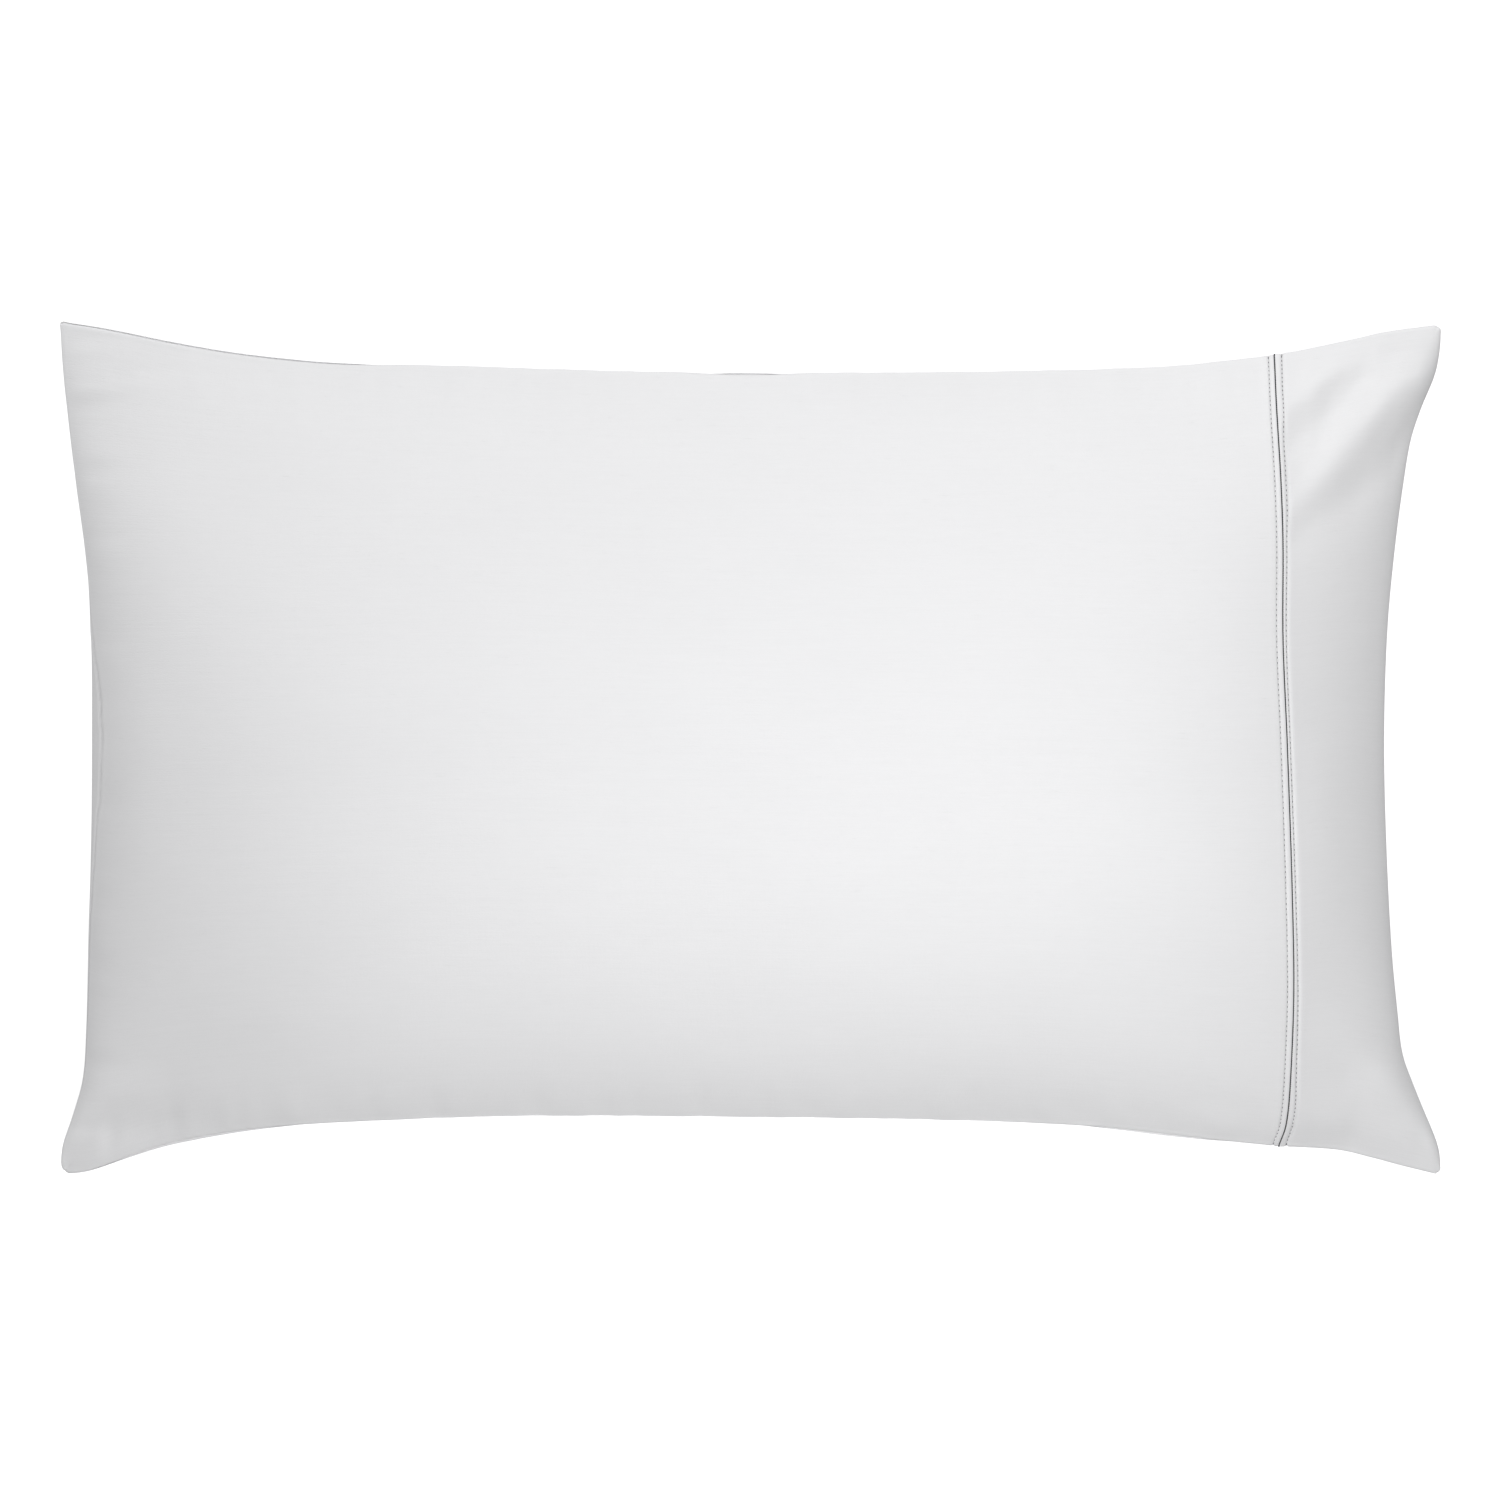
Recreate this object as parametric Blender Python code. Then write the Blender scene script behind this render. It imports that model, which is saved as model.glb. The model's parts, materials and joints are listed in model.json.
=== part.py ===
"""A filled pillowcase that lies on its back: a long body, a deep cuff at its open end, and the dark
cord let into the seam between them.

Metres, +Z up. +X runs to the cuffed end and +Y across the pillow. The origin is on the surface that
the pillow lies on, under the middle of its seam outline.
"""

import math
from collections import namedtuple

import bmesh
import bpy
from mathutils import Vector

# The flat shape: the corners of the sewn edge, before the filling draws the sides in between them.
# Towards its tip a corner is an ear, which can be flatter than the rest and can droop.
Corner = namedtuple("Corner", "x y radius flattening droop")
FOOT_BOTTOM = Corner(-0.3965, -0.2447, 0.008, 0.15, 0.024)
FOOT_TOP = Corner(-0.3942, 0.2446, 0.003, 0.55, 0.001)
CUFF_BOTTOM = Corner(0.3966, -0.2446, 0.005, 0.0, 0.022)
CUFF_TOP = Corner(0.3943, 0.2430, 0.005, 0.0, 0.002)
EAR_REACH = 0.11
LENGTH = CUFF_TOP.x - FOOT_TOP.x
DEPTH = FOOT_TOP.y - FOOT_BOTTOM.y

# How far each side is drawn in, from the straight line between its corners.
Drawn = namedtuple("Drawn", "along inward")
TOP_SIDE = (
    Drawn(0.00, 0.0), Drawn(0.04, 0.0053), Drawn(0.08, 0.0117), Drawn(0.12, 0.0172),
    Drawn(0.16, 0.0211), Drawn(0.20, 0.0237), Drawn(0.30, 0.0260), Drawn(0.42, 0.0287),
    Drawn(0.55, 0.0292), Drawn(0.68, 0.0282), Drawn(0.79, 0.0257), Drawn(0.84, 0.0222),
    Drawn(0.89, 0.0168), Drawn(0.93, 0.0101), Drawn(0.96, 0.0046), Drawn(1.00, 0.0),
)
BOTTOM_SIDE = (
    Drawn(0.00, 0.0), Drawn(0.02, 0.0022), Drawn(0.05, 0.0108), Drawn(0.08, 0.0181),
    Drawn(0.125, 0.0251), Drawn(0.17, 0.0295), Drawn(0.23, 0.0331), Drawn(0.33, 0.0358),
    Drawn(0.50, 0.0351), Drawn(0.68, 0.0327), Drawn(0.75, 0.0288), Drawn(0.82, 0.0223),
    Drawn(0.88, 0.0178), Drawn(0.925, 0.0153), Drawn(0.95, 0.0107), Drawn(0.975, 0.0051),
    Drawn(1.00, 0.0),
)
FOOT_SIDE = (
    Drawn(0.00, 0.0), Drawn(0.035, 0.0012), Drawn(0.07, 0.0073), Drawn(0.11, 0.0133),
    Drawn(0.16, 0.0159), Drawn(0.25, 0.0179), Drawn(0.40, 0.0199), Drawn(0.53, 0.0201),
    Drawn(0.63, 0.0193), Drawn(0.72, 0.0162), Drawn(0.80, 0.0108), Drawn(0.88, 0.0056),
    Drawn(0.95, 0.0017), Drawn(1.00, 0.0),
)
MOUTH_SIDE = (
    Drawn(0.00, 0.0), Drawn(0.03, 0.0010), Drawn(0.06, 0.0070), Drawn(0.10, 0.0158),
    Drawn(0.135, 0.0225), Drawn(0.18, 0.0256), Drawn(0.26, 0.0297), Drawn(0.38, 0.0328),
    Drawn(0.51, 0.0339), Drawn(0.64, 0.0317), Drawn(0.74, 0.0270), Drawn(0.83, 0.0209),
    Drawn(0.87, 0.0171), Drawn(0.905, 0.0112), Drawn(0.94, 0.0039), Drawn(0.97, 0.0011),
    Drawn(1.00, 0.0),
)

# Where the cuff is sewn on: how far up the pillow, and the seam's place along it.
SeamStop = namedtuple("SeamStop", "along x")
CUFF_SEAM = (
    SeamStop(0.00, 0.3022), SeamStop(0.03, 0.3052), SeamStop(0.10, 0.3059), SeamStop(0.20, 0.3057),
    SeamStop(0.32, 0.3038), SeamStop(0.51, 0.3006), SeamStop(0.64, 0.2985), SeamStop(0.76, 0.2993),
    SeamStop(0.84, 0.2990), SeamStop(0.93, 0.2982), SeamStop(1.00, 0.2987),
)

# The filled form.
SEAM_HEIGHT = 0.076  # the sewn edge above the surface
CROWN = 0.092  # the front's highest point above the sewn edge
BACK_ROUNDING = 1.3
REST_FULLNESS = 0.82  # where the back is fuller than this it lies flat

# The section lengthways and the section crossways. A higher plateau keeps the crown level for longer
# before it turns down. A rounding of a half gives an upright edge, and 1 an edge that slopes.
Section = namedtuple("Section", "crown_place start_plateau end_plateau rounding")
LENGTHWAYS = Section(0.05, 4.6, 4.3, 0.77)
CROSSWAYS = Section(-0.07, 2.6, 1.9, 0.97)

# The cuff is tight, so the front turns down where it is sewn on, and levels out further along.
CUFF_SLOPE = 0.18
CUFF_SLOPE_REACH = 0.075
CUFF_SLOPE_EDGE = 0.15  # less near the sewn edge, where the pillow is less full than this

# Soft folds in the front, as ridges (+) and troughs (-) between two points.
Fold = namedtuple("Fold", "x0 y0 x1 y1 half_width height")
FOLDS = (
    Fold(0.368, 0.226, 0.312, 0.172, 0.010, -0.0030),  # the cuff's upper trough
    Fold(0.379, 0.212, 0.318, 0.141, 0.011, 0.0034),  # the ridge beside it
    Fold(0.386, 0.196, 0.330, 0.125, 0.012, -0.0030),  # the long trough under the ridge
    Fold(0.384, -0.228, 0.325, -0.176, 0.012, -0.0018),  # the cuff's lower corner
    Fold(-0.372, -0.222, -0.322, -0.196, 0.016, -0.0024),  # the foot's lower corner
)
FOLD_EDGE = 0.15  # a fold dies out where the pillow is less full than this

# The seam between body and cuff: two rolled edges, and a cord that lies between them.
GAP = 0.0003
EDGE_ROLL_WIDTH = 0.0012
EDGE_ROLL_DEPTH = 0.0015
CORD_RADIUS = 0.0005
CORD_DEPTH = 0.00035  # the cord's middle below the cloth
CORD_SIDES = 6

# Faces.
ROWS = 36  # from the bottom side to the top side, on each face of the pillow
EDGE_CROWDING = 0.8  # 0 spaces the rows evenly, 1 crowds them together towards the long sides
COLUMNS = 50  # from the foot to the mouth
SEAM_ANGLE = math.radians(140.3)  # the cuff seam's place on a half circle from foot to mouth
WELD = 1e-6
TINY = 1e-9

Finish = namedtuple("Finish", "name color roughness")
BODY_CLOTH = Finish("white_sateen", (0.83, 0.83, 0.84), 0.55)
CUFF_CLOTH = Finish("white_sateen_cuff", (0.82, 0.82, 0.83), 0.55)
CORD_YARN = Finish("charcoal_cord", (0.035, 0.035, 0.040), 0.75)


def mix(a, b, share):
    return a + (b - a) * share


def smooth_value(stops, along):
    """The second column of a table at a place along it, on a smooth curve through its rows."""
    last = len(stops) - 1
    i = max(k for k in range(last) if k == 0 or stops[k][0] <= along)

    def slope(k):
        before, after = stops[max(k - 1, 0)], stops[min(k + 1, last)]
        return (after[1] - before[1]) / (after[0] - before[0])

    (t0, v0), (t1, v1) = stops[i], stops[i + 1]
    span = t1 - t0
    t = (along - t0) / span
    rise, settle = t * t * (3 - 2 * t), t * (1 - t)
    return mix(v0, v1, rise) + span * settle * ((1 - t) * slope(i) - t * slope(i + 1))


def foot_x(up):
    return mix(FOOT_BOTTOM.x, FOOT_TOP.x, up) + smooth_value(FOOT_SIDE, up)


def mouth_x(up):
    return mix(CUFF_BOTTOM.x, CUFF_TOP.x, up) - smooth_value(MOUTH_SIDE, up)


def seam_x(up):
    return smooth_value(CUFF_SEAM, up)


def y_at(x, up):
    """How far across the pillow a point is that lies a share up between the two long sides."""
    along = min(max((x - FOOT_TOP.x) / LENGTH, 0.0), 1.0)
    low = mix(FOOT_BOTTOM.y, CUFF_BOTTOM.y, along) + smooth_value(BOTTOM_SIDE, along)
    high = mix(FOOT_TOP.y, CUFF_TOP.y, along) - smooth_value(TOP_SIDE, along)
    return mix(low, high, up)


def rounded(x, up):
    """A point of the square-cornered plan, pulled in near a corner so that its tip becomes round."""
    at_foot, at_bottom = x < 0, up < 0.5
    if at_foot:
        corner = FOOT_BOTTOM if at_bottom else FOOT_TOP
    else:
        corner = CUFF_BOTTOM if at_bottom else CUFF_TOP
    from_end = x - foot_x(up) if at_foot else mouth_x(up) - x
    from_side = DEPTH * min(up, 1 - up)
    a, b = corner.radius - from_end, corner.radius - from_side
    if a <= 0 or b <= 0:
        return x, up
    pull = max(a, b) / math.hypot(a, b)
    from_end, from_side = corner.radius - a * pull, corner.radius - b * pull
    up = from_side / DEPTH if at_bottom else 1 - from_side / DEPTH
    x = foot_x(up) + from_end if at_foot else mouth_x(up) - from_end
    return x, up


def near_ear(x, up):
    """1 at the tip of a corner, falling to 0 further in."""
    from_end = min(x - foot_x(up), mouth_x(up) - x)
    from_side = DEPTH * min(up, 1 - up)
    return math.exp(-(from_end**2 + from_side**2) / EAR_REACH**2)


def share_along(x, up):
    foot, mouth = foot_x(up), mouth_x(up)
    return min(max((x - foot) / (mouth - foot), 0.0), 1.0)


def ease(share):
    return share * share * (3 - 2 * share)


def of_corners(part, x, up):
    """One of the corners' values at any point, blended from each corner to the next."""
    along = ease(share_along(x, up))
    low = mix(getattr(FOOT_BOTTOM, part), getattr(CUFF_BOTTOM, part), along)
    high = mix(getattr(FOOT_TOP, part), getattr(CUFF_TOP, part), along)
    return mix(low, high, ease(up))


def section_height(section, share):
    """The height of a section, 0 at its two ends and 1 at its crown."""
    off_crown = 2 * share - 1 - section.crown_place
    if off_crown < 0:
        off_crown, plateau = off_crown / (1 + section.crown_place), section.start_plateau
    else:
        off_crown, plateau = off_crown / (1 - section.crown_place), section.end_plateau
    return max(1 - abs(off_crown) ** plateau, TINY) ** section.rounding


def fullness(x, up):
    """How much filling is under a point: 0 at the sewn edge, 1 at the crown."""
    lengthways = section_height(LENGTHWAYS, share_along(x, up))
    crossways = section_height(CROSSWAYS, up)
    full = 1 / (1 / lengthways + 1 / crossways - 1)
    return full * (1 - of_corners("flattening", x, up) * near_ear(x, up))


def fold_height(x, y):
    """What the folds add at a point of the front. Each fold fades towards both of its ends."""
    total = 0.0
    for fold in FOLDS:
        run = Vector((fold.x1 - fold.x0, fold.y1 - fold.y0))
        away = Vector((x - fold.x0, y - fold.y0))
        along = away.dot(run) / run.length_squared
        off_line = (away - run * along).length / fold.half_width
        off_middle = 2 * along - 1
        total += fold.height * math.exp(-(off_line**2) - off_middle**4)
    return total


def height_at(x, y, up, front):
    """The height of the front or the back above the surface that the pillow lies on."""
    edge = SEAM_HEIGHT - of_corners("droop", x, up) * near_ear(x, up)
    full = fullness(x, up)
    if front:
        on_cuff = max(x - seam_x(up), 0.0)
        dip = CUFF_SLOPE * on_cuff * math.exp(-on_cuff / CUFF_SLOPE_REACH)
        dip *= min(full / CUFF_SLOPE_EDGE, 1.0)
        return edge + CROWN * full - dip + fold_height(x, y) * min(full / FOLD_EDGE, 1.0)
    pressed = min(full / REST_FULLNESS, 1.0)
    return edge * (1 - pressed) ** BACK_ROUNDING


def row_share(k):
    """How far up the pillow a row is: 0 at the bottom side, 1 at the top side, and back to 0."""
    turn = 1 - abs(1 - k / ROWS)
    return mix(turn, (1 - math.cos(math.pi * turn)) / 2, EDGE_CROWDING)


def girth(x_at):
    """A ring of points round the pillow: over the front from bottom to top, and back underneath.

    x_at gives the ring's place along the pillow for a share up from the bottom side to the top side.
    """
    ring = []
    for k in range(2 * ROWS):
        up = row_share(k)
        x = x_at(up)
        plan_x, plan_up = rounded(x, up)
        y = y_at(plan_x, plan_up)
        ring.append(Vector((plan_x, y, height_at(x, y, up, front=k < ROWS))))
    return ring


def girths_between(start_x, end_x, first_angle, last_angle):
    """Rings from one line across the pillow to another.

    Their places follow the angles of a half circle from foot to mouth, so that they crowd together
    where the form turns down to the sewn edge.
    """
    count = round(COLUMNS * (last_angle - first_angle) / math.pi)
    start, end = math.cos(first_angle), math.cos(last_angle)
    rings = []
    for i in range(count + 1):
        share = (start - math.cos(mix(first_angle, last_angle, i / count))) / (start - end)
        rings.append(girth(lambda up: mix(start_x(up), end_x(up), share)))
    return rings


def moved_out(ring, outward, along):
    """A ring moved along the pillow, and off its own surface in the plane across the pillow."""
    moved = []
    for k, point in enumerate(ring):
        before, after = point - ring[k - 1], ring[(k + 1) % len(ring)] - point
        normals = [Vector((0.0, -run.z, run.y)).normalized() for run in (before, after)]
        both = normals[0] + normals[1]
        mitre = both * (2 / both.length_squared)  # the same distance off both of the faces that meet
        moved.append(point + mitre * outward + Vector((along, 0.0, 0.0)))
    return moved


def loft(bm, rings, joined_ends=False):
    """Faces between neighbouring rings. Returns the vertices of each ring."""
    loops = [[bm.verts.new(point) for point in ring] for ring in rings]
    following = loops[1:] + loops[:1] if joined_ends else loops[1:]
    for near, far in zip(loops, following):
        for k in range(len(near)):
            bm.faces.new((near[k], far[k], far[k - 1], near[k - 1]))
    return loops


def close_end(bm, loop):
    """Fills a ring with rungs that run from the front down to the back."""
    for k in range(ROWS):
        corners = [loop[k], loop[k + 1], loop[-k - 1], loop[-k]]
        bm.faces.new(list(dict.fromkeys(corners)))


def add_object(name, bm, finish):
    bmesh.ops.remove_doubles(bm, verts=bm.verts, dist=WELD)
    bmesh.ops.recalc_face_normals(bm, faces=bm.faces)
    if bm.calc_volume(signed=True) < 0:
        bmesh.ops.reverse_faces(bm, faces=bm.faces)
    mesh = bpy.data.meshes.new(name)
    bm.to_mesh(mesh)
    bm.free()
    mesh.shade_smooth()
    material = bpy.data.materials.new(finish.name)
    material.use_nodes = True
    shader = material.node_tree.nodes["Principled BSDF"]
    shader.inputs["Base Color"].default_value = (*finish.color, 1.0)
    shader.inputs["Roughness"].default_value = finish.roughness
    shader.inputs["Metallic"].default_value = 0.0
    mesh.materials.append(material)
    bpy.context.scene.collection.objects.link(bpy.data.objects.new(name, mesh))


def make_body():
    """The long bag: sewn shut at the foot, open where the cuff is sewn on, and filled."""
    rings = girths_between(foot_x, seam_x, 0.0, SEAM_ANGLE)
    edge = rings.pop()
    rings.append(moved_out(edge, 0.0, -EDGE_ROLL_WIDTH))
    rings.append(moved_out(edge, -EDGE_ROLL_DEPTH, -GAP / 2))
    bm = bmesh.new()
    close_end(bm, loft(bm, rings)[-1])
    add_object("pillow_body", bm, BODY_CLOTH)


def make_cuff():
    """The deep hem at the open end, folded from a second length of the same cloth."""
    rings = girths_between(seam_x, mouth_x, SEAM_ANGLE, math.pi)
    edge = rings.pop(0)
    rings.insert(0, moved_out(edge, 0.0, EDGE_ROLL_WIDTH))
    rings.insert(0, moved_out(edge, -EDGE_ROLL_DEPTH, GAP / 2))
    bm = bmesh.new()
    close_end(bm, loft(bm, rings)[0])
    add_object("cuff", bm, CUFF_CLOTH)


def make_cord():
    """The dark cord, all the way round the pillow in the seam between body and cuff."""
    seam = girth(seam_x)
    rings = []
    for side in range(CORD_SIDES):
        angle = 2 * math.pi * side / CORD_SIDES
        outward = CORD_RADIUS * math.sin(angle) - CORD_DEPTH
        rings.append(moved_out(seam, outward, CORD_RADIUS * math.cos(angle)))
    bm = bmesh.new()
    loft(bm, rings, joined_ends=True)
    add_object("trim_cord", bm, CORD_YARN)


def main():
    for obj in list(bpy.data.objects):
        bpy.data.objects.remove(obj, do_unlink=True)
    make_body()
    make_cuff()
    make_cord()


main()
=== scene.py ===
"""A filled white pillowcase seen from straight above: its cloth, sewn edges, dark cord and stitches.

The file is laid out as an add-on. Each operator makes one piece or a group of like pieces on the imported
solids, and one more sets the stage. Metres, +Z up: the front faces up, and +X runs to the cuffed end.
"""

import functools
import json
import math
from collections import namedtuple

import bpy
import numpy as np
from bpy.props import FloatProperty, FloatVectorProperty, PointerProperty
from bpy.types import Operator, Panel, PropertyGroup
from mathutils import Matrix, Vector


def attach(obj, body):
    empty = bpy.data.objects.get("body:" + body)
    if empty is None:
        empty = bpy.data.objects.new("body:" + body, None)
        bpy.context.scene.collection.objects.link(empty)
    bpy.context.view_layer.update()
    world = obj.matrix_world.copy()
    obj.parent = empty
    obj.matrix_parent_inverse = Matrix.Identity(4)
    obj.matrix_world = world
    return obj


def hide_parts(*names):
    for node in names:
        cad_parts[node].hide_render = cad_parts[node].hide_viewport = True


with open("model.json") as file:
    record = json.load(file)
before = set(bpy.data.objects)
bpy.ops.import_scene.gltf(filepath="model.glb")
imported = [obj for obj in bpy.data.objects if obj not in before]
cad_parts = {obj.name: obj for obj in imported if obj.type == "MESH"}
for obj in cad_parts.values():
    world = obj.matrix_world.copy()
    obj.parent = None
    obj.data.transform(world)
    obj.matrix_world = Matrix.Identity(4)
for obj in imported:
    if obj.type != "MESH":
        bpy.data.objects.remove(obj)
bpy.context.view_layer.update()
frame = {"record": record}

bl_info = {
    "name": "Filled Pillowcase",
    "version": (1, 0, 0),
    "blender": (4, 5, 0),
    "location": "View3D > Sidebar > Pillowcase",
    "description": "Dresses the packed solids of a filled pillowcase in cloth, cord and stitches",
    "category": "Add Mesh",
}

# ---------------------------------------------------------------------------------------------------
# The form, as in the solids.

# The flat shape: the corners of the sewn edge, before the filling draws the sides in between them.
# Towards its tip a corner is an ear, which can be flatter than the rest and can droop.
Corner = namedtuple("Corner", "x y radius flattening droop")
FOOT_BOTTOM = Corner(-0.3965, -0.2447, 0.008, 0.15, 0.024)
FOOT_TOP = Corner(-0.3942, 0.2446, 0.003, 0.55, 0.001)
CUFF_BOTTOM = Corner(0.3966, -0.2446, 0.005, 0.0, 0.022)
CUFF_TOP = Corner(0.3943, 0.2430, 0.005, 0.0, 0.002)
EAR_REACH = 0.11
LENGTH = CUFF_TOP.x - FOOT_TOP.x
DEPTH = FOOT_TOP.y - FOOT_BOTTOM.y

# How far each side is drawn in, from the straight line between its corners.
Drawn = namedtuple("Drawn", "along inward")
TOP_SIDE = (
    Drawn(0.00, 0.0), Drawn(0.04, 0.0053), Drawn(0.08, 0.0117), Drawn(0.12, 0.0172),
    Drawn(0.16, 0.0211), Drawn(0.20, 0.0237), Drawn(0.30, 0.0260), Drawn(0.42, 0.0287),
    Drawn(0.55, 0.0292), Drawn(0.68, 0.0282), Drawn(0.79, 0.0257), Drawn(0.84, 0.0222),
    Drawn(0.89, 0.0168), Drawn(0.93, 0.0101), Drawn(0.96, 0.0046), Drawn(1.00, 0.0),
)
BOTTOM_SIDE = (
    Drawn(0.00, 0.0), Drawn(0.02, 0.0022), Drawn(0.05, 0.0108), Drawn(0.08, 0.0181),
    Drawn(0.125, 0.0251), Drawn(0.17, 0.0295), Drawn(0.23, 0.0331), Drawn(0.33, 0.0358),
    Drawn(0.50, 0.0351), Drawn(0.68, 0.0327), Drawn(0.75, 0.0288), Drawn(0.82, 0.0223),
    Drawn(0.88, 0.0178), Drawn(0.925, 0.0153), Drawn(0.95, 0.0107), Drawn(0.975, 0.0051),
    Drawn(1.00, 0.0),
)
FOOT_SIDE = (
    Drawn(0.00, 0.0), Drawn(0.035, 0.0012), Drawn(0.07, 0.0073), Drawn(0.11, 0.0133),
    Drawn(0.16, 0.0159), Drawn(0.25, 0.0179), Drawn(0.40, 0.0199), Drawn(0.53, 0.0201),
    Drawn(0.63, 0.0193), Drawn(0.72, 0.0162), Drawn(0.80, 0.0108), Drawn(0.88, 0.0056),
    Drawn(0.95, 0.0017), Drawn(1.00, 0.0),
)
MOUTH_SIDE = (
    Drawn(0.00, 0.0), Drawn(0.03, 0.0010), Drawn(0.06, 0.0070), Drawn(0.10, 0.0158),
    Drawn(0.135, 0.0225), Drawn(0.18, 0.0256), Drawn(0.26, 0.0297), Drawn(0.38, 0.0328),
    Drawn(0.51, 0.0339), Drawn(0.64, 0.0317), Drawn(0.74, 0.0270), Drawn(0.83, 0.0209),
    Drawn(0.87, 0.0171), Drawn(0.905, 0.0112), Drawn(0.94, 0.0039), Drawn(0.97, 0.0011),
    Drawn(1.00, 0.0),
)

# Where the cuff is sewn on: how far up the pillow, and the seam's place along it.
SeamStop = namedtuple("SeamStop", "along x")
CUFF_SEAM = (
    SeamStop(0.00, 0.3022), SeamStop(0.03, 0.3052), SeamStop(0.10, 0.3059), SeamStop(0.20, 0.3057),
    SeamStop(0.32, 0.3038), SeamStop(0.51, 0.3006), SeamStop(0.64, 0.2985), SeamStop(0.76, 0.2993),
    SeamStop(0.84, 0.2990), SeamStop(0.93, 0.2982), SeamStop(1.00, 0.2987),
)

SEAM_HEIGHT = 0.076  # the sewn edge above the surface
CROWN = 0.092  # the front's highest point above the sewn edge
BACK_ROUNDING = 1.3
REST_FULLNESS = 0.82  # where the back is fuller than this it lies flat
SEAM_ANGLE = math.radians(140.3)  # the cuff seam's place on a half circle from foot to mouth

# The section lengthways and the section crossways. A higher plateau keeps the crown level for longer
# before it turns down. A rounding of a half gives an upright edge, and 1 an edge that slopes.
Section = namedtuple("Section", "crown_place start_plateau end_plateau rounding")
LENGTHWAYS = Section(0.05, 4.6, 4.3, 0.77)
CROSSWAYS = Section(-0.07, 2.6, 1.9, 0.97)

# The cuff is tight, so the front turns down where it is sewn on, and levels out further along.
CUFF_SLOPE = 0.18
CUFF_SLOPE_REACH = 0.075
CUFF_SLOPE_EDGE = 0.70  # less near the sewn edge, where the pillow is less full than this

# Soft folds in the front, as ridges (+) and troughs (-) between two points.
Fold = namedtuple("Fold", "x0 y0 x1 y1 half_width height")
FOLDS = (
    Fold(0.368, 0.226, 0.312, 0.172, 0.010, -0.0030),  # the cuff's upper trough
    Fold(0.379, 0.212, 0.318, 0.141, 0.011, 0.0034),  # the ridge beside it
    Fold(0.386, 0.196, 0.330, 0.125, 0.012, -0.0030),  # the long trough under the ridge
    Fold(0.384, -0.228, 0.325, -0.176, 0.012, -0.0018),  # the cuff's lower corner
    Fold(-0.372, -0.222, -0.322, -0.196, 0.016, -0.0024),  # the foot's lower corner
)
FOLD_EDGE = 0.15  # a fold dies out where the pillow is less full than this

# The least that a power or a division is given, and the least length of a direction.
TINY = 1e-9
NO_LENGTH = 1e-12

# ---------------------------------------------------------------------------------------------------
# The finer shape of the cloth.

# Smaller creases that only the cloth shows. Each stays on its own side of the cuff seam.
BODY_CREASES = (
    Fold(-0.345, 0.040, -0.345, -0.070, 0.020, 0.0014),  # the swell beside the middle of the foot
    Fold(-0.380, -0.193, -0.325, -0.200, 0.013, 0.0014),  # the foot's lower ear
    Fold(-0.392, -0.232, -0.305, -0.210, 0.012, -0.0026),
    Fold(0.245, -0.197, 0.290, -0.206, 0.008, -0.0008),  # dents at the cuff's lower end
    Fold(0.212, -0.203, 0.236, -0.211, 0.006, -0.0006),
    Fold(0.170, -0.200, 0.188, -0.208, 0.006, -0.0006),
)
CUFF_CREASES = (
    Fold(0.336, 0.2240, 0.298, 0.1860, 0.007, 0.0020),  # from the upper corner down to the seam
    Fold(0.352, 0.2180, 0.296, 0.1620, 0.006, -0.0010),
    Fold(0.374, 0.2160, 0.298, 0.1260, 0.008, 0.0018),
    Fold(0.358, 0.1640, 0.296, 0.1090, 0.008, -0.0012),
    Fold(0.386, 0.2070, 0.350, 0.1600, 0.008, 0.0014),
    Fold(0.352, 0.2360, 0.392, 0.2260, 0.010, -0.0014),  # in the upper ear
    Fold(0.394, 0.2340, 0.382, 0.1980, 0.010, 0.0024),
    Fold(0.325, -0.2260, 0.398, -0.2420, 0.012, -0.0024),  # in the lower ear
    Fold(0.345, 0.1200, 0.345, 0.0200, 0.020, -0.0008),  # across the middle
    Fold(0.322, 0.0000, 0.322, -0.1000, 0.018, 0.0009),
    Fold(0.325, -0.1550, 0.372, -0.2020, 0.012, 0.0016),  # above the lower ear
    Fold(0.355, -0.1850, 0.385, -0.2280, 0.012, 0.0016),
    Fold(0.300, -0.1970, 0.345, -0.2140, 0.014, 0.0016),
)
CREASE_END = 0.006  # creases fade this close to the cuff seam
EDGE_REACH = 0.010  # the sewing shapes the cloth this far from the cuff seam

# The cloth's height above its smooth form, by the distance from the cuff seam.
EdgeStop = namedtuple("EdgeStop", "distance height")
BODY_EDGE = (
    EdgeStop(0.00015, -0.00150), EdgeStop(0.00018, -0.00070), EdgeStop(0.00024, -0.00035),
    EdgeStop(0.00040, -0.00005), EdgeStop(0.00070, 0.00014), EdgeStop(0.00110, 0.00022),
    EdgeStop(0.00160, 0.00022), EdgeStop(0.00230, 0.00014), EdgeStop(0.00280, -0.00010),
    EdgeStop(0.00312, -0.00060), EdgeStop(0.00340, -0.00085), EdgeStop(0.00368, -0.00060),
    EdgeStop(0.00400, -0.00010), EdgeStop(0.00480, 0.00012), EdgeStop(0.00650, 0.00006),
    EdgeStop(0.00820, 0.00001), EdgeStop(0.01000, 0.0),
)
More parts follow.
